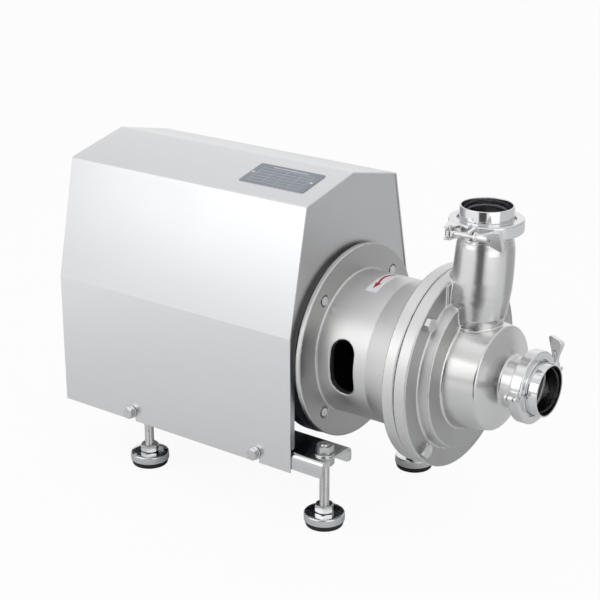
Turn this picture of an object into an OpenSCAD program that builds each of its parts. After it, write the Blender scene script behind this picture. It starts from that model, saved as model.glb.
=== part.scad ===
// Sanitary centrifugal pump: a foot and flange motor under a lift-off sheet cover,
// a lantern, a round casing and two clamped pipe ports, on rails with levelling feet.
// Millimetres. X runs along the shaft towards the inlet, Z is up, the floor is z = 0.

/* [Stand] */
// height of the rail tops over the floor, which the levelling feet set
rail_top_height = 76.6; // [70:0.1:86]
// width of each inverted channel
rail_width = 49.5; // [45:0.5:52]
// height of each channel's side walls
rail_depth = 17.5; // [16:0.5:20]
// sheet thickness of the channels
rail_sheet = 3; // [2.5:0.5:4]
// how far the channels reach in front of the lantern's rear face
rail_front = 32.5; // [29:0.5:38]
// front foot, back from the front end of its channel
foot_inset = 10.8; // [10.6:0.1:13]
// distance between the front and rear feet
foot_pitch = 232.3; // [226:0.1:238]
// foot axis, in from the outer face of its channel
foot_side = 19; // [17:0.5:21]
// radius of the foot studs
stud_r = 5; // [4:0.5:6]
// stud end over the upper nut
stud_end = 5; // [4.5:0.5:8]
// radius of the steel foot caps
foot_cap_r = 20.5; // [18:0.5:24]
// height of the steel foot caps
foot_cap_h = 8.5; // [7:0.5:10]
// height of the rubber foot pads
foot_rubber_h = 5.5; // [4:0.5:7]

/* [Motor] */
// shaft height over the motor's own feet
shaft_height = 90; // [86:1:96]
// radius of the motor's flange
motor_flange_r = 100; // [97:1:104]
// thickness of the motor's flange
motor_flange_t = 12; // [10:0.5:14]
// radius of the flange's bolt circle
flange_bolt_r = 82.5; // [81.5:0.5:83.5]
// radius of the flange's locating spigot
spigot_r = 65; // [62:0.5:67]
// height of the locating spigot
spigot_h = 3.5; // [2.5:0.5:4]
// outer radius of the motor's frame, under its fins
frame_r = 84; // [82:0.5:86]
// wall of the motor's frame
frame_wall = 6; // [5:0.5:7]
// height of the cooling fins
fin_h = 6; // [4:0.5:7]
// length of the finned frame
frame_length = 180; // [174:1:190]
// depth of the drive end shield behind the flange
shield_depth = 20; // [19:1:24]
// first foot hole, back from the flange face
foot_hole_setback = 56; // [52:1:60]
// distance between the foot holes along the shaft
foot_hole_pitch = 100; // [94:1:106]
// foot holes, out from the shaft
foot_hole_side = 70; // [68:0.5:72]
// thickness of the motor's feet
motor_foot_t = 10; // [8:1:12]
// radius of the shaft in the bearings
shaft_r = 12.5; // [12.2:0.1:13]
// radius of the shaft's drive end
shaft_end_r = 12; // [11:0.1:12.1]
// length of the shaft's drive end, out of the flange face
shaft_end = 50; // [46:1:54]
// outer radius of the bearings
bearing_r = 26; // [25.5:0.5:28]
// width of the bearings
bearing_w = 15; // [13:1:16]
// radius of the rotor core
rotor_r = 40; // [37:1:42]
// air gap between rotor and stator
air_gap = 0.5; // [0.4:0.1:0.8]
// length of the rotor and stator cores
core_length = 110; // [100:1:116]
// radius of the cooling fan
fan_r = 68; // [62:1:74]
// width of the cooling fan
fan_w = 26; // [22:1:28]
// length of the fan cover behind the frame
fan_cover_length = 73; // [70:1:78]
// length of the terminal box
box_length = 92; // [84:1:100]
// width of the terminal box
box_width = 88; // [80:1:96]
// height of the terminal box, without its lid
box_height = 36; // [32:1:38]
// wall of the terminal box
box_wall = 4; // [3:0.5:5]

/* [Cover] */
// sheet thickness of the cover
cover_sheet = 1.5; // [1:0.1:2]
// room between the cover's side and the motor's flange
flange_room = 1; // [0.8:0.1:2]
// front of the cover, back from the lantern's rear face
cover_setback = 4.9; // [4:0.1:6]
// room between the fan cover and the back of the cover
cover_back_room = 13; // [11:0.5:18]
// lower edge of the cover, below the rail tops
cover_drop = 21; // [20:0.5:24]
// where the sides start to lean in, over the shaft
waist_h = 30; // [20:1:40]
// top of the sides, over the shaft
shoulder_h = 155.4; // [152:0.1:162]
// width of the cover across the top of its sides
shoulder_w = 152; // [146:1:160]
// ridge of the roof, over the shaft
ridge_h = 172.6; // [168:0.1:180]
// outer bend radius of the cover's sheet
bend_r = 3.5; // [2.5:0.5:6]
// width left beside the front cut-out
front_strip = 7.2; // [6:0.1:8.5]
// front cover bolt, back from the front of the cover
cover_bolt_front = 43.6; // [40:0.1:48]
// rear cover bolt, in from the back of the cover
cover_bolt_rear = 96.6; // [95:0.1:99]
// cover bolts, below the rail tops
cover_bolt_drop = 11; // [10:0.5:11.5]
// radius of the cover bolts
cover_bolt_r = 4; // [3:0.5:4.5]
// length of the nameplate
plate_length = 79; // [60:1:90]
// width of the nameplate
plate_width = 39.4; // [30:0.2:42]

/* [Lantern] */
// length from the rear flange face to the front flange face
lantern_length = 110.7; // [108:0.1:116]
// gap that the cover's front slides into, behind the rear flange
plate_gap = 12; // [11:0.5:14]
// thickness of the rear flange
lantern_flange_t = 5; // [4.5:0.5:8]
// radius of the barrel
barrel_r = 73; // [71:0.5:74]
// wall of the barrel
barrel_wall = 8; // [7:0.5:9]
// rise of the lantern's flare, from the barrel to the front rim
flare_rise = 7; // [4:0.5:12]
// length of the plain barrel, up to the flare
barrel_length = 62; // [58:1:68]
// thickness of the front flange's rim
front_rim_t = 12.7; // [11:0.1:14]
// width of the oval windows
window_w = 27; // [22:0.5:30]
// height of the oval windows
window_h = 56; // [46:1:60]
// middle of the windows, from the rear flange face
window_x = 34; // [32:0.5:38]

/* [Casing] */
// radius of the casing's flange
casing_flange_r = 98.6; // [97.5:0.1:101]
// thickness of the casing's flange
casing_flange_t = 13.1; // [11:0.1:15]
// open seam between the two flanges
seam = 0.6; // [0.4:0.1:1]
// radius of the casing bolt circle
casing_bolt_r = 89.5; // [89:0.1:90.5]
// radius of the stepped ring
ring_r = 76; // [73:0.5:78]
// depth of the stepped ring
ring_t = 11.4; // [9:0.1:13]
// radius of the pump chamber's outside at its root
chamber_r = 56; // [54:0.5:58]
// radius of the pump chamber's outside at its face
chamber_face_r = 51; // [49.5:0.5:53]
// length of the pump chamber in front of the ring
chamber_length = 33.2; // [31:0.1:36]
// wall of the pump chamber
casing_wall = 4.5; // [3.5:0.5:5]
// length of the inlet nozzle, up to the clamped joint
nozzle_length = 32.8; // [30:0.1:38]
// height of the outlet's clamped joint over the shaft
outlet_joint_h = 148.8; // [143:0.1:155]
// axis of the outlet, back from the pump chamber's face
outlet_back = 23.7; // [22.5:0.1:25]
// rise of the chamber's coned front, from its edge to the nozzle
dish_rise = 11; // [8:0.5:14]
// shift of the outlet's throat towards the motor
outlet_shift = 3.1; // [2:0.1:4]
// lean of the outlet's lower pipe towards the motor, in degrees
outlet_lean = 5; // [3:0.5:6]
// radius of the outlet's lower pipe
outlet_root_r = 28; // [27.5:0.1:29]
// top of the outlet's lower pipe, below the clamped joint
outlet_neck_drop = 26; // [24:0.5:31]
// narrowing of the outlet's throat below the port's bore
throat_step = 2.5; // [2:0.1:4]

/* [Ports] */
// outer radius of the pipe ports
port_r = 25.4; // [24.8:0.1:25.8]
// wall of the pipe ports
port_wall = 1.65; // [1.4:0.05:2]
// length of the clamped ferrules from the joint
ferrule_length = 18; // [16:0.1:22]
// radius of the ferrule lips
lip_r = 32; // [31.2:0.1:32.5]
// thickness of the ferrule lips at the rim
lip_t = 1.8; // [1.5:0.1:2.2]
// thickness of the joint gaskets
gasket_t = 1.6; // [1:0.1:2]

/* [Clamps] */
// outer radius of the clamps
clamp_r = 35.2; // [34.8:0.1:36.4]
// width of the clamps
clamp_w = 12.6; // [12.2:0.1:14]
// open gap between the two halves
clamp_split = 3; // [2:0.2:4]
// hinge pin, out from the clamp's rim
hinge_out = 4.2; // [4.1:0.1:6]
// swing bolt, out from the clamp's rim
bolt_out = 7.3; // [7:0.1:9]
// pivot of the swing bolt, before the split
pivot_back = 16; // [14.5:0.5:17]
// seat of the wing nut, past the split
ear_reach = 7.6; // [7:0.1:9]
// radius of the swing bolts
swing_bolt_r = 2.5; // [2.2:0.1:2.8]
// turn of the outlet clamp about the outlet
outlet_clamp_turn = 5; // [-5:1:15]
// tilt of the inlet clamp about the inlet
inlet_clamp_tilt = -2; // [-12:1:8]

/* [Pump] */
// radius of the impeller
impeller_r = 44; // [40:0.5:45]
// radius of the pump shaft at the seal
pump_shaft_r = 15; // [14.5:0.5:16]
// radius of the coupling end of the pump shaft
coupling_r = 21; // [19:0.5:24]
// width of the seal seat
seat_w = 9; // [8:0.5:10]
// length of the rotating seal head
seal_head_length = 12.5; // [11:0.5:14]

/* [Clearances] */
// radial clearance of pins, studs and shafts in their holes
fit = 0.05; // [0.03:0.01:0.08]
// clearance between parts that slide past each other
slide = 0.4; // [0.3:0.05:0.6]
// play under the wing nuts, so that the bolts can swing out
nut_play = 0.8; // [0.7:0.05:1]

/* [Hidden] */
$fn = 64;

// places along the shaft, from the lantern's rear flange face
motor_face = -plate_gap;
frame_front = motor_face - motor_flange_t - shield_depth;
frame_back = frame_front - frame_length;
fan_cover_back = frame_back - fan_cover_length;
cover_front_x = -cover_setback;
cover_back_x = fan_cover_back - cover_back_room - cover_sheet;
casing_x = lantern_length + seam;
ring_x = casing_x + casing_flange_t;
chamber_x = ring_x + ring_t;
chamber_face = chamber_x + chamber_length;
inlet_joint = chamber_face + nozzle_length;
inlet_rim = inlet_joint + ferrule_length;
outlet_x = chamber_face - outlet_back;
outlet_low_x = outlet_x - outlet_shift;
outlet_neck_h = outlet_joint_h - outlet_neck_drop;

// the whole pump stands with its middle over the origin
shift_x = -(cover_back_x + inlet_rim) / 2;
shaft_z = rail_top_height + shaft_height;

// places across and up from the shaft
rail_z = -shaft_height;
cover_half = motor_flange_r + flange_room + cover_sheet;
rail_out = motor_flange_r + flange_room - slide;
rail_in = rail_out - rail_width;
rail_back_x = cover_back_x + cover_sheet + 6;
foot_y = rail_out - foot_side;
foot_front_x = rail_front - foot_inset;
foot_rear_x = foot_front_x - foot_pitch;
port_bore_r = port_r - port_wall;
chamber_back_r = chamber_r - casing_wall;
boss_r = flange_bolt_r + 7;
back_plate_r = ring_r + 7.5;
lantern_bore_r = barrel_r - barrel_wall;
seal_bore_r = pump_shaft_r + 9;

// places along the rotor
front_bearing_x = motor_face - motor_flange_t - 3 - bearing_w;
rear_bearing_x = frame_back - bearing_w - 1;
core_front = (frame_front + frame_back + core_length) / 2;
core_back = core_front - core_length;
fan_x = rear_bearing_x - 9 - fan_w;
seal_face_x = casing_x + 2;
impeller_x = seal_face_x + fit + seal_head_length;
impeller_front = chamber_face - casing_wall - 3;

// fasteners
nut_af = 3.4 * stud_r;
nut_h = 1.6 * stud_r;
washer_h = 2;
cover_bolt_z = rail_z - cover_bolt_drop;
foot_bolt_r = 4;
foot_bolt_af = 13;
foot_bolt_head_h = 5.3;
foot_bolt_nut_h = 6.5;
foot_bolt_tail = 2.5;
gland_r = 12;
gland_length = 22;
gland_af = 27;
gland_hex_h = 12;
gland_stem_r = 8;
gland_bore_r = 5;
casing_bolt_shank = 4;
flange_screw_r = 5;

// sheet and clamp shapes
lean = 20;
groove_r = lip_r + slide;
clamp_neck_r = port_r + 2.2;
nut_seat = ear_reach + nut_play;
collar_r = swing_bolt_r + 2.3;
hinge_arm = clamp_r + hinge_out;
bolt_arm = clamp_r + bolt_out;

// helpers
function arc(cx, cr, r, a0, a1, n = 6) =
    [for (i = [0:n]) [cx + r * cos(a0 + (a1 - a0) * i / n), cr + r * sin(a0 + (a1 - a0) * i / n)]];
function unit(v) = v / norm(v);
function left_of(v) = [-v[1], v[0]];

module at_shaft() { translate([shift_x, 0, shaft_z]) children(); }
// a solid of revolution about the shaft, from [x, radius] points
module turned(p) { rotate([0, 90, 0]) rotate_extrude() polygon([for (q = p) [q[1], q[0]]]); }
module rod(x0, x1, r) { translate([x0, 0, 0]) rotate([0, 90, 0]) cylinder(h = x1 - x0, r = r); }
module tube(x0, x1, r1, r0) { difference() { rod(x0, x1, r1); rod(x0 - 1, x1 + 1, r0); } }
module hex(h, af) { cylinder(h = h, r = af / 2 / cos(30), $fn = 6); }
// copies at both sides of the pump
module both_sides() { for (s = [-1, 1]) scale([1, s, 1]) children(); }
// copies on the four diagonals about the shaft
module on_diagonals(r) { for (a = [45:90:315]) rotate([a, 0, 0]) translate([0, 0, r]) children(); }
// a shape in Y and Z, drawn out along X
module along_x(x0, x1) {
    translate([x0, 0, 0]) rotate([90, 0, 90]) linear_extrude(height = x1 - x0) children();
}

// stand
module rail() {
    difference() {
        along_x(rail_back_x, rail_front) rail_section();
        for (x = [foot_front_x, foot_rear_x])
            translate([x, foot_y, rail_z - rail_depth]) cylinder(h = 2 * rail_depth, r = stud_r + slide);
        for (x = foot_hole_places())
            translate([x, foot_hole_side, rail_z - rail_depth])
                cylinder(h = 2 * rail_depth, r = foot_bolt_r + slide);
        for (x = cover_bolt_places())
            translate([x, rail_out - rail_sheet - 1, cover_bolt_z]) rotate([-90, 0, 0])
                cylinder(h = rail_sheet + 2, r = cover_bolt_r + fit);
    }
}
// inverted channel with bent shoulders
module rail_section() {
    difference() {
        union() {
            translate([rail_in, rail_z - rail_depth]) square([rail_width, rail_depth - 2 * rail_sheet]);
            translate([rail_in + 2 * rail_sheet, rail_z - rail_depth])
                square([rail_width - 4 * rail_sheet, rail_depth]);
            for (y = [rail_in + 2 * rail_sheet, rail_out - 2 * rail_sheet])
                translate([y, rail_z - 2 * rail_sheet]) circle(r = 2 * rail_sheet);
        }
        translate([rail_in + rail_sheet, rail_z - rail_depth - 1])
            square([rail_width - 2 * rail_sheet, rail_depth + 1 - 2 * rail_sheet]);
        translate([rail_in + 2 * rail_sheet, rail_z - rail_depth - 1])
            square([rail_width - 4 * rail_sheet, rail_depth + 1 - rail_sheet]);
        for (y = [rail_in + 2 * rail_sheet, rail_out - 2 * rail_sheet])
            translate([y, rail_z - 2 * rail_sheet]) circle(r = rail_sheet);
    }
}
function foot_hole_places() =
    [motor_face - foot_hole_setback, motor_face - foot_hole_setback - foot_hole_pitch];
function cover_bolt_places() = [cover_front_x - cover_bolt_front, cover_back_x + cover_bolt_rear];
module rail_left() { color("silver") at_shaft() rail(); }
module rail_right() { color("silver") at_shaft() scale([1, -1, 1]) rail(); }

module at_feet() {
    both_sides() for (x = [foot_front_x, foot_rear_x]) translate([x, foot_y, rail_z]) children();
}
module foot_nuts() {
    color("gainsboro") at_shaft() at_feet() {
        difference() {
            translate([0, 0, washer_h]) hex(nut_h, nut_af);
            cylinder(h = 3 * nut_h, r = stud_r + fit);
        }
        difference() {
            translate([0, 0, -rail_sheet - nut_h]) hex(nut_h, nut_af);
            translate([0, 0, -3 * nut_h]) cylinder(h = 3 * nut_h, r = stud_r + fit);
        }
    }
}
module foot_washers() {
    color("whitesmoke") at_shaft() at_feet() difference() {
        cylinder(h = washer_h, r = 2.1 * stud_r);
        translate([0, 0, -1]) cylinder(h = washer_h + 2, r = stud_r + slide);
    }
}
// one foot about its own axis, with the floor at z = 0
foot_cap_top = foot_rubber_h + foot_cap_h;
module foot_stud() {
    color("silver") {
        translate([0, 0, foot_cap_top - 4])
            cylinder(h = rail_top_height + washer_h + nut_h + stud_end - foot_cap_top + 4, r = stud_r);
        translate([0, 0, foot_cap_top + fit]) hex(nut_h, nut_af);
        difference() {
            rotate_extrude() polygon(concat(
                [[0, foot_rubber_h], [foot_cap_r - 1, foot_rubber_h], [foot_cap_r, foot_rubber_h + 1]],
                arc(foot_cap_r - 2, foot_cap_top - 2, 2, 0, 90), [[0, foot_cap_top]]));
            translate([0, 0, foot_cap_top - 4 - fit]) cylinder(h = 5, r = stud_r + fit);
        }
    }
}
module foot_pad() { color("black") cylinder(h = foot_rubber_h, r1 = foot_cap_r - 1.5, r2 = foot_cap_r - 1); }
module at_foot(x, side) { translate([shift_x + x, side * foot_y, 0]) children(); }
module foot_front_right_stud() { at_foot(foot_front_x, -1) foot_stud(); }
module foot_front_right_pad() { at_foot(foot_front_x, -1) foot_pad(); }
module foot_front_left_stud() { at_foot(foot_front_x, 1) foot_stud(); }
module foot_front_left_pad() { at_foot(foot_front_x, 1) foot_pad(); }
module foot_rear_right_stud() { at_foot(foot_rear_x, -1) foot_stud(); }
module foot_rear_right_pad() { at_foot(foot_rear_x, -1) foot_pad(); }
module foot_rear_left_stud() { at_foot(foot_rear_x, 1) foot_stud(); }
module foot_rear_left_pad() { at_foot(foot_rear_x, 1) foot_pad(); }

// motor
box_x = core_front - core_length / 2;
module motor_frame() {
    holes = foot_hole_places();
    foot_back = holes[1] - 14;
    foot_length = holes[0] + 14 - foot_back;
    color("slategray") at_shaft() difference() {
        union() {
            rod(frame_back, frame_front, frame_r);
            for (a = [40:20:120], s = [-1, 1])
                rotate([s * a, 0, 0]) translate([frame_back + 10, -1.5, frame_r - 2])
                    cube([frame_length - 20, 3, fin_h + 2]);
            both_sides() {
                translate([foot_back, 46, rail_z])
                    cube([foot_length, foot_hole_side + 13 - 46, motor_foot_t]);
                translate([foot_back, 46, rail_z]) cube([foot_length, 11, shaft_height - 50]);
            }
            box_block(-6, 50, frame_r + fin_h - 48);
        }
        rod(frame_back - 1, frame_front + 1, frame_r - frame_wall);
        for (x = holes) both_sides()
            translate([x, foot_hole_side, rail_z - 1])
                cylinder(h = motor_foot_t + 2, r = foot_bolt_r + slide);
    }
}
module drive_end_shield() {
    inner = frame_r - frame_wall - fit;
    hollow = inner - frame_wall;
    neck_r = flange_bolt_r - flange_screw_r - 2.5;
    color("dimgray") at_shaft() difference() {
        turned([[motor_face + spigot_h, 0], [motor_face + spigot_h, spigot_r - fit],
            [motor_face, spigot_r - fit], [motor_face, motor_flange_r],
            [motor_face - motor_flange_t, motor_flange_r], [motor_face - motor_flange_t, neck_r],
            [frame_front + shield_depth / 2, neck_r], [frame_front, frame_r], [frame_front, inner],
            [frame_front - 4, inner], [frame_front - 4, hollow], [frame_front, hollow],
            [frame_front + shield_depth / 2 - 2, neck_r - frame_wall],
            [frame_front + shield_depth / 2 - 2, bearing_r + 6], [front_bearing_x - 2, bearing_r + 6],
            [front_bearing_x - 2, 0]]);
        rod(front_bearing_x - 3, front_bearing_x + bearing_w, bearing_r + fit);
        rod(front_bearing_x - 3, motor_face + spigot_h + 1, shaft_r + slide);
        on_diagonals(flange_bolt_r)
            rod(motor_face - motor_flange_t - 1, motor_face + 1, flange_screw_r + fit);
    }
}
module rear_end_shield() {
    inner = frame_r - frame_wall - fit;
    color("dimgray") at_shaft() difference() {
        turned([[frame_back, 0], [frame_back + 4, 0], [frame_back + 4, inner], [frame_back, inner],
            [frame_back, frame_r],
            [frame_back - 10, frame_r], [frame_back - 10, bearing_r + 6], [rear_bearing_x - 4, bearing_r + 6],
            [rear_bearing_x - 4, 0]]);
        rod(rear_bearing_x, frame_back + 5, bearing_r + fit);
        rod(rear_bearing_x - 5, frame_back + 5, shaft_r + slide);
        tube(frame_back, frame_back + 5, inner - 6, bearing_r + 6);
    }
}
module stator_core() {
    color("gray") at_shaft() tube(core_back, core_front, frame_r - frame_wall - fit, rotor_r + air_gap);
}
module stator_windings() {
    color("peru") at_shaft() {
        tube(core_front, core_front + 16, frame_r - frame_wall - 8, rotor_r + 6);
        tube(core_back - 16, core_back, frame_r - frame_wall - 8, rotor_r + 6);
    }
}
module rotor_core() { color("gray") at_shaft() tube(core_back, core_front, rotor_r, shaft_r + 3 + fit); }
module motor_shaft() {
    color("silver") at_shaft() turned([[fan_x - 4, 0], [fan_x - 4, shaft_r - 2.5],
        [rear_bearing_x - 6, shaft_r - 2.5], [rear_bearing_x - 6, shaft_r],
        [rear_bearing_x + bearing_w, shaft_r], [rear_bearing_x + bearing_w, shaft_r + 3],
        [front_bearing_x, shaft_r + 3], [front_bearing_x, shaft_r], [motor_face + spigot_h, shaft_r],
        [motor_face + spigot_h, shaft_end_r], [motor_face + shaft_end, shaft_end_r],
        [motor_face + shaft_end, 0]]);
}
// bearing rings share their track with the balls
ball_r = (bearing_r - shaft_r) / 5;
track_r = (bearing_r + shaft_r) / 2;
module at_bearings() { for (x = [front_bearing_x, rear_bearing_x]) translate([x, 0, 0]) children(); }
module bearing_outer_rings() {
    color("darkgray") at_shaft() at_bearings() tube(0, bearing_w, bearing_r, track_r + ball_r + fit);
}
module bearing_inner_rings() {
    color("darkgray") at_shaft() at_bearings() tube(0, bearing_w, track_r - ball_r - fit, shaft_r + fit);
}
module bearing_balls() {
    color("lightgray") at_shaft() at_bearings()
        for (i = [0:8]) rotate([40 * i, 0, 0]) translate([bearing_w / 2, 0, track_r]) sphere(r = ball_r);
}
module cooling_fan() {
    color("darkslategray") at_shaft() difference() {
        union() {
            rod(fan_x, fan_x + fan_w, shaft_r + 5);
            rod(fan_x + fan_w - 4, fan_x + fan_w, fan_r - 8);
            for (i = [0:6]) rotate([i * 360 / 7, 0, 0])
                translate([fan_x, -1.5, shaft_r + 2]) cube([fan_w, 3, fan_r - shaft_r - 2]);
        }
        rod(fan_x - 1, fan_x + fan_w + 1, shaft_r - 2.5 + fit);
    }
}
module fan_cover() {
    color("slategray") at_shaft() difference() {
        rod(fan_cover_back, frame_back - 1, frame_r + fit + 1.5);
        rod(fan_cover_back + 1.5, frame_back, frame_r + fit);
        for (r = [16:13:68]) for (i = [0:round(r / 3.2)])
            rotate([i * 360 / (round(r / 3.2) + 1), 0, 0]) translate([fan_cover_back - 1, 0, r])
                rotate([0, 90, 0]) cylinder(h = 4, r = 4);
    }
}
box_z = frame_r + fin_h + 2;
// a block over the frame, larger than the terminal box by the lip on each side
module box_block(lip, z, h) {
    translate([box_x - box_length / 2 - lip, -box_width / 2 - lip, z])
        cube([box_length + 2 * lip, box_width + 2 * lip, h]);
}
module terminal_box() {
    color("slategray") at_shaft() {
        difference() {
            box_block(0, box_z, box_height);
            box_block(-box_wall, box_z + box_wall, box_height);
            translate([box_x - box_length / 2, 0, box_z + box_height / 2])
                rod(-1, box_wall + 1, gland_stem_r + fit);
        }
        box_block(2, box_z + box_height + fit, 5);
    }
}
module cable_gland() {
    color("black") at_shaft() translate([box_x - box_length / 2, 0, box_z + box_height / 2]) difference() {
        union() {
            rod(-gland_length, 0, gland_r);
            rod(-1, 2 * box_wall, gland_stem_r);
            translate([-gland_hex_h, 0, 0]) rotate([0, 90, 0]) hex(gland_hex_h, gland_af);
        }
        rod(-gland_length - 1, 2 * box_wall + 1, gland_bore_r);
    }
}
module motor_foot_bolts() {
    color("silver") at_shaft() for (x = foot_hole_places()) both_sides()
        translate([x, foot_hole_side, rail_z]) {
            translate([0, 0, motor_foot_t]) hex(foot_bolt_head_h, foot_bolt_af);
            translate([0, 0, -rail_sheet - foot_bolt_nut_h - foot_bolt_tail])
                cylinder(h = rail_sheet + foot_bolt_nut_h + foot_bolt_tail + motor_foot_t + 0.5,
                    r = foot_bolt_r);
            difference() {
                translate([0, 0, -rail_sheet - foot_bolt_nut_h]) hex(foot_bolt_nut_h, foot_bolt_af);
                translate([0, 0, -rail_sheet - foot_bolt_nut_h - 1.5])
                    cylinder(h = foot_bolt_nut_h + 2.5, r = foot_bolt_r + fit);
            }
        }
}

// lantern between motor and casing
rim_x = lantern_length - front_rim_t;
lantern_r = casing_flange_r;
plate_seat = lantern_length - 5;
module lantern() {
    color("lightgray") at_shaft() difference() {
        turned(concat(
            [[motor_face + spigot_h + 0.5, spigot_r + fit], [motor_face, spigot_r + fit],
             [motor_face, boss_r], [0, boss_r], [0, motor_flange_r - 0.8], [0.8, motor_flange_r]],
            arc(lantern_flange_t - 1.5, motor_flange_r - 1.5, 1.5, 90, 0),
            arc(lantern_flange_t + 3, barrel_r + 3, 3, 180, 270),
            [[barrel_length, barrel_r], [rim_x, barrel_r + flare_rise], [rim_x, lantern_r - 1.5],
             [rim_x + 1.5, lantern_r], [lantern_length - 1, lantern_r], [lantern_length, lantern_r - 1],
             [lantern_length, back_plate_r + fit], [plate_seat, back_plate_r + fit],
             [plate_seat, seal_bore_r + 20], [plate_seat - 10, seal_bore_r + 20],
             [plate_seat - 10, lantern_bore_r],
             [motor_face + spigot_h + 0.5, lantern_bore_r]]));
        for (s = [-1, 1]) translate([window_x, 0, 0]) scale([1, s, 1]) window();
        on_diagonals(flange_bolt_r) rod(motor_face - 1, lantern_flange_t + 4, flange_screw_r + fit);
        on_diagonals(casing_bolt_r) rod(rim_x - 2, lantern_length + 1, casing_bolt_shank + fit);
    }
}
// an oval opening through one side of the barrel
module window() {
    reach = barrel_r + 10;
    for (z = [-1, 1]) translate([0, 20, z * (window_h - window_w) / 2]) rotate([-90, 0, 0])
        cylinder(h = reach, r = window_w / 2);
    translate([-window_w / 2, 20, -(window_h - window_w) / 2]) cube([window_w, reach, window_h - window_w]);
}
label_x = window_x - 3;
module rotation_label() {
    color("white") at_shaft() rotate([23.5, 0, 0]) translate([label_x, 0, 0])
        rotate([0, 90, 0]) rotate([0, 0, 180])
            rotate_extrude(angle = 32) translate([barrel_r + 0.02, 0]) square([0.3, 13]);
}
module flange_screws() {
    color("darkgray") at_shaft() on_diagonals(flange_bolt_r) difference() {
        rod(motor_face - motor_flange_t, lantern_flange_t + 0.8, flange_screw_r);
        translate([lantern_flange_t - 2.2, 0, 0]) rotate([0, 90, 0]) hex(4, 5);
    }
}

// pump head
module back_plate() {
    color("silver") at_shaft() difference() {
        rod(plate_seat, casing_x, back_plate_r);
        rod(plate_seat - 1, casing_x + 1, seal_bore_r);
        tube(casing_x - 2, casing_x + 1, back_plate_r - 2, back_plate_r - 5);
    }
}
module casing_seal() {
    color("white") at_shaft()
        tube(casing_x - 2, casing_x, back_plate_r - 2 - fit, back_plate_r - 5 + fit);
}
module seal_seat() {
    color("dimgray") at_shaft()
        tube(seal_face_x - seat_w, seal_face_x, seal_bore_r - fit, pump_shaft_r + 1.5);
}

// distance along the axis that a lip's sloping back takes up
function lip_back(r0, r1) = (r1 - r0) * tan(lean);
module front_casing() {
    lip_x = inlet_joint - gasket_t / 2;
    lip_root = port_r + 0.8;
    color("silver") at_shaft() difference() {
        union() {
            turned(concat(
                [[casing_x, chamber_back_r], [casing_x, casing_flange_r - 0.6],
                 [casing_x + 0.6, casing_flange_r]],
                arc(ring_x - 1.2, casing_flange_r - 1.2, 1.2, 90, 0),
                arc(ring_x + 1.2, ring_r + 3.2, 1.2, 180, 270),
                arc(chamber_x - 1.5, ring_r - 1.5, 1.5, 90, 0),
                arc(chamber_x + 3, chamber_r + 3, 3, 180, 270),
                arc(chamber_face - 2.5, chamber_face_r - 2.5, 2.5, 90,
                    atan2(dish_rise, chamber_face_r - port_r)),
                [[chamber_face + dish_rise, port_r],
                 [lip_x - lip_t - lip_back(lip_root, lip_r), port_r],
                 [lip_x - lip_t - lip_back(lip_root, lip_r), lip_root],
                 [lip_x - lip_t, lip_r], [lip_x, lip_r], [lip_x, port_bore_r],
                 [chamber_face - casing_wall, port_bore_r],
                 [chamber_face - casing_wall, chamber_face_r - casing_wall],
                 [chamber_x, chamber_back_r]]));
            outlet_outside();
        }
        rod(casing_x - 1, chamber_x, chamber_back_r);
        rod(chamber_x - 0.5, chamber_face - casing_wall, chamber_face_r - casing_wall);
        translate([outlet_low_x, 0, chamber_r - 22])
            cylinder(h = outlet_neck_h - chamber_r + 22, r = port_bore_r - throat_step);
        translate([outlet_x, 0, outlet_neck_h - 6]) cylinder(h = outlet_neck_drop + 8, r = port_bore_r);
        on_diagonals(casing_bolt_r) rod(casing_x - 1, ring_x + 1, casing_bolt_shank + fit);
    }
}
// pipe that rises from the chamber, with its pad against the flange
pad_t = 3;
module outlet_outside() {
    lip_z = outlet_joint_h - gasket_t / 2;
    lip_root = port_r + 0.8;
    taper = outlet_root_r - port_r + 0.5;
    root = outlet_neck_h - chamber_r + 18;
    intersection() {
        translate([outlet_x, 0, outlet_neck_h]) rotate([0, outlet_lean, 0]) union() {
            translate([0, 0, -root]) cylinder(h = root, r = outlet_root_r);
            cylinder(h = 3 * taper, r1 = outlet_root_r, r2 = outlet_root_r - taper);
        }
        translate([casing_x + 1, -outlet_joint_h, 0]) cube(2 * outlet_joint_h);
    }
    lip_low = lip_z - lip_t - lip_back(lip_root, lip_r);
    neck_z = outlet_neck_h - 4;
    translate([outlet_x, 0, neck_z]) rotate_extrude() polygon([[0, 0], [port_r - 1, 0], [port_r, 6],
        [port_r, lip_low - neck_z], [lip_root, lip_low - neck_z],
        [lip_r, lip_z - lip_t - neck_z], [lip_r, lip_z - neck_z], [0, lip_z - neck_z]]);
    along_x(ring_x - 2, ring_x + pad_t) intersection() {
        circle(r = casing_flange_r - 1.5);
        translate([-outlet_root_r - 3, chamber_r]) square([2 * outlet_root_r + 6, casing_flange_r]);
    }
}
module casing_bolts() {
    color("gainsboro") at_shaft() on_diagonals(casing_bolt_r) union() {
        rod(rim_x + 1, ring_x + 1, casing_bolt_shank);
        translate([ring_x, 0, 0]) rotate([0, 90, 0]) hex(5.5, 13);
    }
}

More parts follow.
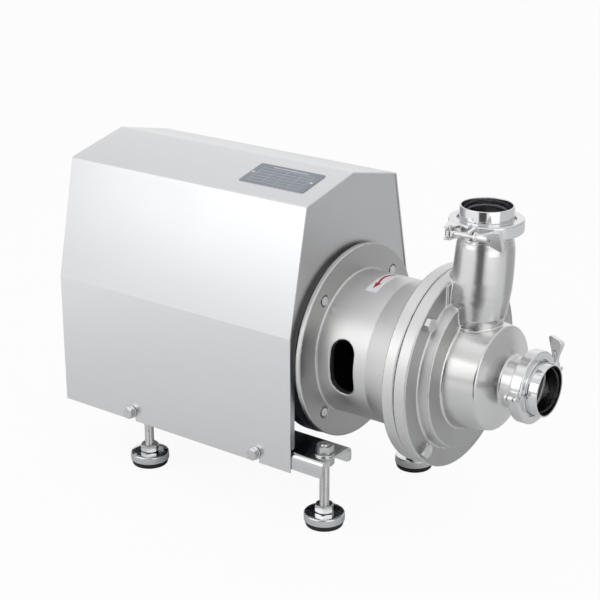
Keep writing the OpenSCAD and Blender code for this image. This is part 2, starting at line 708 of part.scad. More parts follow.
// clamped ports: each clamp is drawn about Z with its joint at z = 0, its hinge at +Y and its bolt at -Y
module at_outlet() {
    at_shaft() translate([outlet_x, 0, outlet_joint_h]) rotate([0, 0, outlet_clamp_turn]) children();
}
module at_inlet() {
    at_shaft() translate([inlet_joint, 0, 0]) rotate([inlet_clamp_tilt, 0, 0]) rotate([180, -90, 0])
        children();
}
module gasket() {
    color("white") difference() {
        translate([0, 0, -gasket_t / 2]) cylinder(h = gasket_t, r = lip_r - 0.5);
        translate([0, 0, -gasket_t]) cylinder(h = 2 * gasket_t, r = port_bore_r + slide);
    }
}
module ferrule() {
    z0 = gasket_t / 2;
    lip_root = port_r + 0.8;
    z1 = z0 + lip_t + lip_back(lip_root, lip_r);
    color("silver") rotate_extrude() polygon([[port_bore_r, z0], [lip_r, z0], [lip_r, z0 + lip_t],
        [lip_root, z1], [port_r, z1 + 1],
        [port_r, ferrule_length - 0.4], [port_r - 0.4, ferrule_length], [port_bore_r, ferrule_length]]);
}
module clamp_ring() {
    h = clamp_w / 2;
    rotate_extrude() polygon([[clamp_r - 2, -h], [clamp_r, 2 - h], [clamp_r, h - 2], [clamp_r - 2, h],
        [clamp_neck_r / 2, h], [clamp_neck_r / 2, -h]]);
}
hinge_r = 3.8;
pin_r = 1.8;
lug_sink = 9;
lug_z = 3.2;
// a round lug on an arm that reaches back into the ring
module lug(x, y, r, z0, z1, toward) {
    translate([x, y, z0]) cylinder(h = z1 - z0, r = r);
    translate([min(x, x + toward * r), min(y, sign(y) * (clamp_r - lug_sink)), z0])
        cube([r, abs(y) - clamp_r + lug_sink, z1 - z0]);
}
// the half that carries the swing bolt's pivot
module clamp_pivot_half() {
    color("lightgray") difference() {
        union() {
            intersection() {
                clamp_ring();
                translate([-2 * clamp_r - clamp_split / 2, -clamp_r, -clamp_w])
                    cube([2 * clamp_r, 2 * clamp_r, 2 * clamp_w]);
            }
            for (s = [0, 1]) mirror([0, 0, s]) {
                lug(0, hinge_arm, hinge_r, lug_z + 0.2, clamp_w / 2, -1);
                lug(-pivot_back, -bolt_arm, 2 * swing_bolt_r, lug_z + 0.2, clamp_w / 2, -1);
                lug(-pivot_back, -bolt_arm, 2 * swing_bolt_r, lug_z + 0.2, clamp_w / 2, 1);
            }
        }
        clamp_inside();
        translate([0, hinge_arm, -clamp_w]) cylinder(h = 2 * clamp_w, r = pin_r + fit);
        translate([-pivot_back, -bolt_arm, -clamp_w]) cylinder(h = 2 * clamp_w, r = pin_r + fit);
        translate([-clamp_split / 2, -bolt_arm - clamp_r, -clamp_w])
            cube([clamp_r, bolt_arm + clamp_r, 2 * clamp_w]);
    }
}
// the half with the slotted ear
module clamp_ear_half() {
    slot = swing_bolt_r + slide;
    color("lightgray") difference() {
        union() {
            intersection() {
                clamp_ring();
                translate([clamp_split / 2, -clamp_r, -clamp_w])
                    cube([2 * clamp_r, 2 * clamp_r, 2 * clamp_w]);
            }
            lug(0, hinge_arm, hinge_r, -lug_z + 0.2, lug_z - 0.2, 1);
            translate([clamp_split / 2 + 2, -bolt_arm - 5.5, -clamp_w / 2])
                cube([ear_reach - clamp_split / 2 - 2, bolt_arm + 5.5 - clamp_r + lug_sink, clamp_w]);
        }
        clamp_inside();
        translate([0, hinge_arm, -clamp_w]) cylinder(h = 2 * clamp_w, r = pin_r + fit);
        translate([0, -bolt_arm - 10, -slot]) cube([clamp_r, 10 + slot, 2 * slot]);
    }
}
// bore and groove that take both lips
module clamp_inside() {
    deep = gasket_t / 2 + lip_t + fit;
    neck = deep + lip_back(clamp_neck_r, groove_r);
    rotate_extrude() polygon([[0, -clamp_w], [clamp_neck_r, -clamp_w], [clamp_neck_r, -neck],
        [groove_r, -deep], [groove_r, deep], [clamp_neck_r, neck], [clamp_neck_r, clamp_w], [0, clamp_w]]);
}
module clamp_pins() {
    color("gray") {
        translate([0, hinge_arm, -clamp_w / 2 - 1.2]) cylinder(h = clamp_w + 2.4, r = pin_r);
        translate([-pivot_back, -bolt_arm, -clamp_w / 2 - 1.2]) cylinder(h = clamp_w + 2.4, r = pin_r);
    }
}
module swing_bolt() {
    color("silver") difference() {
        union() {
            translate([-pivot_back, -bolt_arm, -lug_z + 0.4])
                cylinder(h = 2 * lug_z - 0.8, r = 2 * swing_bolt_r - 0.4);
            translate([0, -bolt_arm, 0]) rod(-pivot_back, nut_seat + 15, swing_bolt_r);
        }
        translate([-pivot_back, -bolt_arm, -clamp_w]) cylinder(h = 2 * clamp_w, r = pin_r + fit);
    }
}
// a flared fan on a collar, turned about the bolt
wing_t = 4.4;
wing_edge = [[4, 2.6], [8, 4.2], [13, 6.4], [18, 8.8], [22.5, 10.8], [25.5, 11.4], [27.4, 9.8], [27.9, 6]];
module wing_nut(turn) {
    color("silver") translate([nut_seat, -bolt_arm, 0]) rotate([turn, 0, 0]) difference() {
        union() {
            turned([[0, 0], [0, collar_r], [2.5, collar_r], [4, collar_r - 1],
                [14, collar_r - 1.1], [14, 0]]);
            rotate([90, 0, 0]) translate([0, 0, -wing_t / 2]) linear_extrude(height = wing_t)
                polygon(concat(wing_edge, [for (i = [len(wing_edge) - 1:-1:0])
                    [wing_edge[i][0], -wing_edge[i][1]]]));
        }
        rod(-1, 15.5, swing_bolt_r + fit);
    }
}
module inlet_gasket() { at_inlet() gasket(); }
module inlet_ferrule() { at_inlet() ferrule(); }
module inlet_clamp_lower() { at_inlet() clamp_pivot_half(); }
module inlet_clamp_upper() { at_inlet() clamp_ear_half(); }
module inlet_clamp_pins() { at_inlet() clamp_pins(); }
module inlet_swing_bolt() { at_inlet() swing_bolt(); }
module inlet_wing_nut() { at_inlet() wing_nut(147); }
module outlet_gasket() { at_outlet() gasket(); }
module outlet_ferrule() { at_outlet() ferrule(); }
module outlet_clamp_rear() { at_outlet() clamp_pivot_half(); }
module outlet_clamp_front() { at_outlet() clamp_ear_half(); }
module outlet_clamp_pins() { at_outlet() clamp_pins(); }
module outlet_swing_bolt() { at_outlet() swing_bolt(); }
module outlet_wing_nut() { at_outlet() wing_nut(24); }

// rotating pump parts
module pump_shaft() {
    tip = impeller_front - 4;
    color("silver") at_shaft() difference() {
        turned([[motor_face + shaft_end - 34, 0], [motor_face + shaft_end - 34, coupling_r],
            [motor_face + shaft_end + 12, coupling_r], [motor_face + shaft_end + 18, pump_shaft_r],
            [impeller_x, pump_shaft_r], [impeller_x, pump_shaft_r - 3], [tip - 14, pump_shaft_r - 3],
            [tip - 14, 7], [tip, 7], [tip, 0]]);
        rod(motor_face + shaft_end - 35, motor_face + shaft_end + fit, shaft_end_r + fit);
    }
}
module seal_head() {
    x0 = seal_face_x + fit;
    r = pump_shaft_r;
    color("dimgray") at_shaft() turned([[x0, r + fit], [x0, r + 6], [x0 + 5, r + 6], [x0 + 6, r + 3],
        [x0 + 7, r + 5], [x0 + 8, r + 3], [x0 + 9, r + 5], [impeller_x, r + 4], [impeller_x, r + fit]]);
}
hub_front = impeller_front - 18;
module impeller() {
    color("silver") at_shaft() difference() {
        union() {
            turned([[impeller_x, 0], [impeller_x, impeller_r], [impeller_x + 2.5, impeller_r],
                [impeller_x + 5, pump_shaft_r + 6], [hub_front, pump_shaft_r + 1], [hub_front, 0]]);
            for (i = [0:4]) rotate([i * 72, 0, 0]) along_x(impeller_x + 1, impeller_front) vane();
        }
        rod(impeller_x - 1, impeller_front + 1, pump_shaft_r - 3 + fit);
    }
}
// backward curved strip from the hub to the rim
module vane() {
    bend = impeller_r * 0.8;
    intersection() {
        difference() {
            circle(r = impeller_r);
            circle(r = pump_shaft_r + 0.5);
        }
        difference() {
            translate([0, bend]) circle(r = bend + 1.6);
            translate([0, bend]) circle(r = bend - 1.6);
        }
        translate([0, -impeller_r]) square([impeller_r, 2 * impeller_r]);
    }
}
module impeller_nut() {
    tip = impeller_front - 4;
    color("silver") at_shaft() difference() {
        union() {
            translate([hub_front, 0, 0]) rotate([0, 90, 0]) hex(tip - hub_front - 4, 22);
            turned(concat([[tip - 5, 0], [tip - 5, 10.8]], arc(tip - 4, 0, 10.8, 90, 40),
                arc(tip - 4, 0, 10.8, 35, 0)));
        }
        rod(hub_front - 1, tip - 14 + fit, pump_shaft_r - 3 + fit);
        rod(hub_front - 1, tip + fit, 7 + fit);
    }
}

// cover
half_outline = [[-cover_half, rail_z - cover_drop], [-cover_half, waist_h],
    [-shoulder_w / 2, shoulder_h], [0, ridge_h], [shoulder_w / 2, shoulder_h], [cover_half, waist_h],
    [cover_half, rail_z - cover_drop]];
function side_normal(i) = -left_of(unit(half_outline[i + 1] - half_outline[i]));
// the folded outline, moved in by d, with its bends rounded
function folded(d) = concat([half_outline[0] + d * side_normal(0)],
    [for (i = [1:5]) let (a = side_normal(i - 1), b = side_normal(i),
            c = half_outline[i] + (a + b) * bend_r / (1 + a * b))
        for (k = [0:5]) c - (bend_r - d) * unit(a + (b - a) * k / 5)],
    [half_outline[6] + d * side_normal(5)]);
module cover_shell() {
    inner = folded(cover_sheet);
    n = len(inner);
    color("whitesmoke") at_shaft() difference() {
        along_x(cover_back_x, cover_front_x) polygon(concat(folded(0), [for (i = [1:n]) inner[n - i]]));
        for (x = cover_bolt_places()) both_sides() {
            translate([x, cover_half - cover_sheet - 1, cover_bolt_z]) rotate([-90, 0, 0])
                cylinder(h = cover_sheet + 2, r = cover_bolt_r + slide);
            translate([x - cover_bolt_r - slide, cover_half - cover_sheet - 1, rail_z - cover_drop - 1])
                cube([2 * (cover_bolt_r + slide), cover_sheet + 2, cover_drop - cover_bolt_drop + 1]);
        }
    }
}
cut_r = cover_half - cover_sheet - front_strip;
module cover_front_plate() {
    color("darkgray") at_shaft() difference() {
        along_x(cover_front_x - 1 - cover_sheet, cover_front_x - 1) difference() {
            polygon(folded(cover_sheet));
            circle(r = cut_r);
            translate([-cut_r, rail_z - cover_drop - 1]) square([2 * cut_r, shaft_height + cover_drop + 1]);
            translate([-cover_half, rail_z - cover_drop - 1]) square([2 * cover_half, cover_drop + 2.5]);
        }
    }
}
module cover_back_plate() {
    color("whitesmoke") at_shaft() difference() {
        along_x(cover_back_x, cover_back_x + cover_sheet) polygon(folded(cover_sheet));
        for (z = [-5:-1]) for (y = [-34, 34]) translate([cover_back_x - 1, y, 14 * z + 60]) vent();
        for (z = [-5:-1]) for (y = [-34, 34]) translate([cover_back_x - 1, y, 14 * z - 10]) vent();
    }
}
// a slot with round ends, through the sheet
module vent() {
    for (y = [-22, 22]) translate([0, y, 0]) rod(0, cover_sheet + 2, 3);
    translate([0, -22, -3]) cube([cover_sheet + 2, 44, 6]);
}
// the near slope of the roof, with its own X along the ridge and Z out of the sheet
roof_slope = atan((ridge_h - shoulder_h) / (shoulder_w / 2));
plate_front = cover_front_x - 20.6;
plate_down = 16.5 / cos(roof_slope);
module on_roof() { at_shaft() translate([0, 0, ridge_h]) rotate([roof_slope, 0, 0]) children(); }
module nameplate() {
    color("lightslategray") on_roof() translate([plate_front - plate_length, -plate_down - plate_width, 0])
        cube([plate_length, plate_width, 0.6]);
}
module nameplate_rivets() {
    color("silver") on_roof() for (x = [4, plate_length - 4])
        translate([plate_front - x, -plate_down - plate_width / 2, 0.6]) cylinder(h = 0.8, r1 = 2, r2 = 1.4);
}
module cover_bolts() {
    out = cover_half + slide;
    color("gainsboro") at_shaft() for (x = cover_bolt_places()) both_sides()
        translate([x, 0, cover_bolt_z]) rotate([-90, 0, 0]) {
            translate([0, 0, rail_out - rail_sheet - 3])
                cylinder(h = out - rail_out + rail_sheet + 4, r = cover_bolt_r);
            translate([0, 0, out]) cylinder(h = 1.6, r = 2.1 * cover_bolt_r);
            translate([0, 0, out + 1.6]) hex(5.3, 3.25 * cover_bolt_r);
        }
}

rail_left();
rail_right();
foot_nuts();
foot_washers();
motor_frame();
drive_end_shield();
rear_end_shield();
stator_core();
stator_windings();
bearing_outer_rings();
bearing_balls();
fan_cover();
terminal_box();
cable_gland();
motor_foot_bolts();
lantern();
rotation_label();
flange_screws();
back_plate();
casing_seal();
front_casing();
casing_bolts();
seal_seat();
inlet_gasket();
inlet_ferrule();
inlet_clamp_lower();
inlet_clamp_upper();
inlet_clamp_pins();
outlet_gasket();
outlet_ferrule();
outlet_clamp_rear();
outlet_clamp_front();
outlet_clamp_pins();
cover_bolts();
cover_shell();
cover_front_plate();
cover_back_plate();
nameplate();
nameplate_rivets();
motor_shaft();
rotor_core();
bearing_inner_rings();
cooling_fan();
pump_shaft();
seal_head();
impeller();
impeller_nut();
inlet_swing_bolt();
inlet_wing_nut();
outlet_swing_bolt();
outlet_wing_nut();
foot_front_right_stud();
foot_front_right_pad();
foot_front_left_stud();
foot_front_left_pad();
foot_rear_right_stud();
foot_rear_right_pad();
foot_rear_left_stud();
foot_rear_left_pad();
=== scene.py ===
# %% [markdown]
# # A sanitary centrifugal pump
# This lesson dresses the engineering model of a stainless pump for food and drink: a motor under
# a folded sheet cover, a blasted lantern and casing, two clamped pipe ports and four levelling
# feet. The model comes in as fixed solids in metres. Here they get finishes, or a finer mesh that
# stands in for them and rides on the same moving body.

# %% Load the solids
import math

import bmesh
import bpy
import numpy as np
from mathutils import Matrix, Vector


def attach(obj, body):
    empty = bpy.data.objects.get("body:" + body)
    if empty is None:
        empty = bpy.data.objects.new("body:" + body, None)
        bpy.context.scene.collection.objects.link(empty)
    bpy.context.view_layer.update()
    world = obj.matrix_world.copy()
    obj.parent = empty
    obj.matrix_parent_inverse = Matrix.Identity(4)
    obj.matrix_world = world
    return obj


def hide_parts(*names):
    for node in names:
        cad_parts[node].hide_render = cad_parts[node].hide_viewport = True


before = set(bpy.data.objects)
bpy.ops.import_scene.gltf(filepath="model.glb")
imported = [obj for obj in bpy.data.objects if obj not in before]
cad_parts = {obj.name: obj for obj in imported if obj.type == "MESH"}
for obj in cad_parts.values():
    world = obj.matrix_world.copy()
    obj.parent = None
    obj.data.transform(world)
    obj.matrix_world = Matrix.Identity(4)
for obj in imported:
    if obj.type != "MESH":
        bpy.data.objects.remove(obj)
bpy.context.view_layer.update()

# %% [markdown]
# ## The camera
# The pump was photographed with a long lens, from in front of its right side and a little above.
# A camera could be placed by eye, but a long lens hides errors, so these numbers were solved from
# the circles of the flanges and the lines of the cover. They hold for a square picture.

# %% Camera
PICTURE_SIDE = 600
FOCAL_IN_PIXELS = 1580.18
SENSOR_MM = 36.0
EYE = Vector((0.89165, -1.2154, 0.7494))
BACK = Vector((0.5652, -0.7501, 0.3435))

scene = bpy.context.scene


def in_scene(name, data):
    """A new object, linked into the scene."""
    thing = bpy.data.objects.new(name, data)
    scene.collection.objects.link(thing)
    return thing


def look_along(thing, direction):
    """Turns a camera or a lamp to look along a direction."""
    thing.rotation_mode = "QUATERNION"
    thing.rotation_quaternion = direction.to_track_quat("-Z", "Y")


lens = bpy.data.cameras.new("studio_camera")
lens.sensor_width = SENSOR_MM
lens.lens = SENSOR_MM * FOCAL_IN_PIXELS / PICTURE_SIDE
camera = in_scene("studio_camera", lens)
camera.location = EYE
look_along(camera, -BACK)
scene.camera = camera
scene.view_settings.view_transform = "Standard"
print("lens", round(lens.lens, 2), "mm")

# %% [markdown]
# ## Small tools for shader nodes
# Every finish below is a node tree, and several share an effect. Writing each link by hand is long,
# so these helpers add a node whose sockets are given as plain values or as sockets to link from.


# %% Node helpers
def feed(tree, socket, value):
    """Sets a socket to a plain value, or links it from another socket."""
    if isinstance(value, bpy.types.NodeSocket):
        tree.links.new(value, socket)
    else:
        socket.default_value = value


def add_node(tree, kind, settings=None, in_order=(), **sockets):
    """A new node with plain settings, and with sockets fed in order or by name."""
    node = tree.nodes.new(kind)
    for name, value in (settings or {}).items():
        setattr(node, name, value)
    for socket, value in zip(node.inputs, in_order):
        feed(tree, socket, value)
    for name, value in sockets.items():
        feed(tree, node.inputs[name.replace("_", " ")], value)
    return node


def math_node(tree, operation, *values, clamp=False):
    """The result of a Math node."""
    node = add_node(tree, "ShaderNodeMath", {"operation": operation, "use_clamp": clamp}, values)
    return node.outputs[0]


def vector_node(tree, operation, *values):
    """The result of a Vector Math node, a number where it measures something."""
    node = add_node(tree, "ShaderNodeVectorMath", {"operation": operation}, values)
    return node.outputs["Value" if operation in ("LENGTH", "DOT_PRODUCT") else "Vector"]


def ramp(tree, value, low, high, start, end, kind="SMOOTHSTEP"):
    """A step from start to end while a value goes from low to high."""
    between = {"From_Min": low, "From_Max": high, "To_Min": start, "To_Max": end}
    step = add_node(tree, "ShaderNodeMapRange", {"interpolation_type": kind}, Value=value, **between)
    return step.outputs["Result"]


def blend_node(tree, kind, share, below, above):
    """Numbers or colours mixed by a share."""
    mix = add_node(tree, "ShaderNodeMix", {"data_type": kind}, Factor=share, A=below, B=above)
    return mix.outputs["Result"]


print("node helpers:", [f.__name__ for f in (feed, add_node, math_node, vector_node, ramp, blend_node)])


# %% [markdown]
# ## The studio
# The pump stands on a pale floor under soft light. Polished steel shows what is round it more than
# its own colour, so the room matters: a wide soft box on the left, one on the right, a weak one
# overhead, a dark gap between them where the camera stands, a paler ceiling, and a white sweep
# behind the pump that the roof of the cover mirrors. To the camera the floor and the room are
# nearly white, and the floor keeps a faint shadow.

# %% World
SHAFT = np.array((0.04585, 0.0, 0.1666))
WHITE = (1.0, 1.0, 1.0, 1.0)
ROOM_GREY, CEILING_GREY, CEILING_RISE = 0.48, 0.84, (0.1, 0.85)
SWEEP_WHITE, SWEEP_TOWARDS, SWEEP_EDGE = 1.0, (-0.566, 0.824, 0.0), (0.55, 0.9)


def make_world():
    """A white room to the camera, a soft grey one with a paler ceiling to every other ray."""
    world = bpy.data.worlds.new("studio_room")
    world.use_nodes = True
    tree = world.node_tree
    way = add_node(tree, "ShaderNodeTexCoord").outputs["Generated"]
    up = add_node(tree, "ShaderNodeSeparateXYZ", Vector=way).outputs["Z"]
    rise = ramp(tree, up, *CEILING_RISE, ROOM_GREY, CEILING_GREY)
    behind = vector_node(tree, "DOT_PRODUCT", way, SWEEP_TOWARDS)
    sweep = ramp(tree, behind, *SWEEP_EDGE, 0.0, SWEEP_WHITE)
    room = math_node(tree, "MAXIMUM", rise, sweep)
    seen = add_node(tree, "ShaderNodeLightPath").outputs["Is Camera Ray"]
    shade = tree.nodes["Background"].inputs
    feed(tree, shade["Color"], WHITE)
    feed(tree, shade["Strength"], blend_node(tree, "FLOAT", seen, room, 1.0))
    return world


scene.world = make_world()
print("world:", scene.world.name)

# %% Floor
FLOOR_RADIUS, FLOOR_DROP = 14.0, 0.0004
FLOOR_PAINT = (0.75, 0.755, 0.765, 1.0)
FLOOR_SEEN = 0.94
FAR_GLOW, FAR_EDGE = 0.9, (0.45, 1.1)
DIM_LEFT, DIM_TOWARDS, DIM_EDGE = 0.2, (0.6, 0.8, 0.0), (0.15, 0.7)


def bare_paint(name):
    """A material that has no nodes yet, and its tree."""
    paint = bpy.data.materials.new(name)
    paint.use_nodes = True
    paint.node_tree.nodes.clear()
    return paint, paint.node_tree


def make_floor():
    """A wide pale disc that looks white to the camera and keeps a faint shadow."""
    mesh = bpy.data.meshes.new("studio_floor")
    disc = bmesh.new()
    bmesh.ops.create_circle(disc, cap_ends=True, segments=96, radius=FLOOR_RADIUS)
    disc.to_mesh(mesh)
    disc.free()
    floor = in_scene("studio_floor", mesh)
    floor.location.z = -FLOOR_DROP
    paint, tree = bare_paint("studio_floor")
    matt = add_node(tree, "ShaderNodeBsdfDiffuse", Color=FLOOR_PAINT)
    glow = add_node(tree, "ShaderNodeEmission", Color=WHITE, Strength=1.0)
    rays = add_node(tree, "ShaderNodeLightPath").outputs
    spot = add_node(tree, "ShaderNodeNewGeometry").outputs["Position"]
    far = ramp(tree, vector_node(tree, "LENGTH", spot), *FAR_EDGE, 0.0, FAR_GLOW)
    dim = ramp(tree, vector_node(tree, "DOT_PRODUCT", spot, DIM_TOWARDS), *DIM_EDGE, 1.0, DIM_LEFT)
    mirrored = math_node(tree, "MULTIPLY", rays["Is Glossy Ray"], math_node(tree, "MULTIPLY", far, dim))
    seen = math_node(tree, "MULTIPLY", rays["Is Camera Ray"], FLOOR_SEEN)
    share = math_node(tree, "MAXIMUM", seen, mirrored)
    mix = add_node(tree, "ShaderNodeMixShader", None, (share, matt.outputs[0], glow.outputs[0]))
    add_node(tree, "ShaderNodeOutputMaterial", Surface=mix.outputs[0])
    mesh.materials.append(paint)


make_floor()
print("floor radius", FLOOR_RADIUS, "m")

# %% Lamps
PUMP_MIDDLE = Vector((0.02, 0.0, 0.17))
# name: degrees round the pump, height, distance, width and height of the face, its brightness
SOFT_BOXES = {
    "left_soft_box": (-25.0, 0.72, 1.35, 1.3, 0.95, 0.97),
    "right_soft_box": (66.0, 0.5, 1.25, 0.9, 0.9, 0.8),
    "top_soft_box": (-60.0, 1.9, 0.5, 1.3, 1.3, 0.2),
}


def around(azimuth, distance):
    """X and Y of a place round the pump, from its near side."""
    turn = math.radians(azimuth)
    return math.sin(turn) * distance, -math.cos(turn) * distance


for name, (azimuth, height, distance, width, tall, glow) in SOFT_BOXES.items():
    lamp = bpy.data.lights.new(name, "AREA")
    lamp.shape = "RECTANGLE"
    lamp.size, lamp.size_y = width, tall
    lamp.energy = glow * math.pi * width * tall
    box = in_scene(name, lamp)
    box.location = (*around(azimuth, distance), height)
    look_along(box, PUMP_MIDDLE - box.location)

# %% [markdown]
# ## Dark cards
# A photographer puts black card beside the lens and on the table, so that round polished steel gets
# dark stripes that draw its shape. These cards are part of the stage. The camera doesn't see them,
# and they take no light from the pump: only mirrors show them.

# %% Dark cards
CARD_HEIGHT = 0.004


def lying(x0, y0, x1, y1):
    """Corners of a card on the table."""
    return [(x, y, CARD_HEIGHT) for x, y in ((x0, y0), (x1, y0), (x1, y1), (x0, y1))]


def upright(azimuth, distance, width, low, high):
    """Corners of an upright card that faces the pump."""
    x, y = around(azimuth, distance)
    turn = math.radians(azimuth)
    dx, dy = math.cos(turn) * width / 2, math.sin(turn) * width / 2
    return [(x - dx, y - dy, low), (x + dx, y + dy, low), (x + dx, y + dy, high), (x - dx, y - dy, high)]


def dark_card(name, corners, grey):
    """A card that only reflections show."""
    mesh = bpy.data.meshes.new(name)
    mesh.from_pydata(corners, [], [(0, 1, 2, 3)])
    card = in_scene(name, mesh)
    paint, tree = bare_paint(name)
    glow = add_node(tree, "ShaderNodeEmission", Color=(grey, grey, grey, 1.0), Strength=1.0)
    add_node(tree, "ShaderNodeOutputMaterial", Surface=glow.outputs[0])
    mesh.materials.append(paint)
    card.visible_camera = False
    card.visible_diffuse = False
    card.visible_shadow = False


dark_card("lens_card", upright(27.0, 0.755, 0.4, 0.0, 0.55), 0.08)
dark_card("front_table_card", lying(0.25, -0.72, 0.55, -0.28), 0.12)

# %% [markdown]
# ## Shared effects
# Steel parts share six effects: the grain that rolling leaves in sheet, the fine pits of glass bead
# blasting, soft smears from handling, edges rubbed brighter than the faces, a mask of what lies near
# an axis, which puts painted shade inside bores and glossier zones about the shaft and the outlet,
# and painted shade on faces turned square to the shaft. Each is a node group with its own inputs, so
# that every finish sets its own scale and depth.

# %% Texture effects
NUMBER, VECTOR = "NodeSocketFloat", "NodeSocketVector"
GRAIN_HEIGHT, PIT_HEIGHT = 0.0002, 0.0003
SMEAR_RANGE = (0.32, 0.68)


def new_group(name, inputs, outputs):
    """An empty shader node group, and its inputs to link from."""
    tree = bpy.data.node_groups.new(name, "ShaderNodeTree")
    for label, value in inputs.items():
        kind = VECTOR if isinstance(value, tuple) else NUMBER
        tree.interface.new_socket(label, in_out="INPUT", socket_type=kind).default_value = value
    for label, kind in outputs.items():
        tree.interface.new_socket(label, in_out="OUTPUT", socket_type=kind)
    return tree, tree.nodes.new("NodeGroupInput").outputs


def close_group(tree, **results):
    """Links what a group has worked out to its outputs."""
    add_node(tree, "NodeGroupOutput", **results)
    return tree


def object_noise(tree, spot=None, **sockets):
    """Noise that stays on the object."""
    spot = spot or add_node(tree, "ShaderNodeTexCoord").outputs["Object"]
    return add_node(tree, "ShaderNodeTexNoise", Vector=spot, **sockets).outputs["Fac"]


def grain_group():
    """Long streaks along the rolling direction."""
    inputs = {"Stretch": (40.0, 40.0, 40.0), "Depth": 0.05}
    tree, given = new_group("rolled grain", inputs, {"Streak": NUMBER, "Normal": VECTOR})
    spot = add_node(tree, "ShaderNodeTexCoord").outputs["Object"]
    drawn = vector_node(tree, "MULTIPLY", spot, given["Stretch"])
    streak = object_noise(tree, drawn, Scale=1.0, Detail=4.0, Roughness=0.62)
    bump = add_node(tree, "ShaderNodeBump", Distance=GRAIN_HEIGHT, Height=streak, Strength=given["Depth"])
    return close_group(tree, Streak=streak, Normal=bump.outputs["Normal"])


def blast_group():
    """Fine pits all over, as glass beads leave them."""
    inputs = {"Scale": 900.0, "Depth": 0.1}
    tree, given = new_group("bead blast", inputs, {"Speckle": NUMBER, "Normal": VECTOR})
    pits = object_noise(tree, Scale=given["Scale"], Detail=2.0, Roughness=0.7)
    bump = add_node(tree, "ShaderNodeBump", Distance=PIT_HEIGHT, Height=pits, Strength=given["Depth"])
    return close_group(tree, Speckle=pits, Normal=bump.outputs["Normal"])


def smear_group():
    """Wide soft patches, where hands and cloths have been."""
    tree, given = new_group("handling smears", {"Scale": 9.0, "Low": 0.3, "High": 0.4}, {"Value": NUMBER})
    patches = object_noise(tree, Scale=given["Scale"], Detail=5.0, Roughness=0.58, Distortion=0.6)
    return close_group(tree, Value=ramp(tree, patches, *SMEAR_RANGE, given["Low"], given["High"], "LINEAR"))


EFFECTS = {"grain": grain_group(), "blast": blast_group(), "smear": smear_group()}
print("texture effects:", sorted(EFFECTS))

# %% Mask effects
EDGE_RANGE, FACE_RANGE = (0.52, 0.62), (0.94, 0.99)
ABOUT_SHAFT = (tuple(SHAFT), (0.0, 1.0, 1.0))


def wear_group():
    """Outer edges, broken up by noise, as a mask."""
    tree, given = new_group("rubbed edges", {"Amount": 0.5}, {"Mask": NUMBER})
    sharpness = add_node(tree, "ShaderNodeNewGeometry").outputs["Pointiness"]
    edge = ramp(tree, sharpness, *EDGE_RANGE, 0.0, 1.0, "LINEAR")
    broken = math_node(tree, "MULTIPLY", edge, object_noise(tree, Scale=160.0, Detail=3.0))
    return close_group(tree, Mask=math_node(tree, "MULTIPLY", broken, given["Amount"], clamp=True))


def bore_group():
    """Everything nearer to an axis than a radius, as a mask."""
    inputs = {"Radius": 0.05, "Middle": ABOUT_SHAFT[0], "Across": ABOUT_SHAFT[1]}
    tree, given = new_group("near an axis", inputs, {"Mask": NUMBER})
    spot = add_node(tree, "ShaderNodeTexCoord").outputs["Object"]
    centred = vector_node(tree, "SUBTRACT", spot, given["Middle"])
    away = vector_node(tree, "LENGTH", vector_node(tree, "MULTIPLY", centred, given["Across"]))
    return close_group(tree, Mask=math_node(tree, "LESS_THAN", away, given["Radius"]))


def face_shade_group():
    """Flat faces square to the shaft, as a mask for painted shade."""
    tree, given = new_group("painted shade on end faces", {"Edge": FACE_RANGE[0]}, {"Mask": NUMBER})
    outwards = add_node(tree, "ShaderNodeTexCoord").outputs["Normal"]
    along = add_node(tree, "ShaderNodeSeparateXYZ", Vector=outwards).outputs["X"]
    return close_group(tree, Mask=ramp(tree, along, given["Edge"], FACE_RANGE[1], 0.0, 1.0))


EFFECTS.update({"wear": wear_group(), "bore": bore_group(), "face": face_shade_group()})
print("all effects:", sorted(EFFECTS))

# %% [markdown]
# ## Finishes
# Stainless steel looks grey, white or black by its surface alone: the sheet is satin, the castings
# are blasted, the rails and pipe ends are polished. One function makes them all from a colour, a
# range of roughness and the texture. Paint, rubber and film use the same function without metal.
# Some finishes also carry painted shade: darker faces square to the shaft, darker bores and a
# darker front sheet.

# %% Finish maker
PATCHES_FINER = 2.3
# The tone of the painted shade inside bores; each finish scales it by its own share.
BORE_SHADE_TONE = (1.0, 1.0, 1.05)


def use_effect(tree, name, **values):
    """Places one shared effect in a material, for its outputs."""
    return add_node(tree, "ShaderNodeGroup", {"node_tree": EFFECTS[name]}, **values).outputs


def bore_mask(tree, radius, middle, across):
    """The mask of one bore."""
    return use_effect(tree, "bore", Radius=radius, Middle=middle, Across=across)["Mask"]


def shaded(colour, share):
    """A lighter or darker colour, for a socket."""
    return (*[max(0.0, min(1.0, c * share)) for c in colour], 1.0)


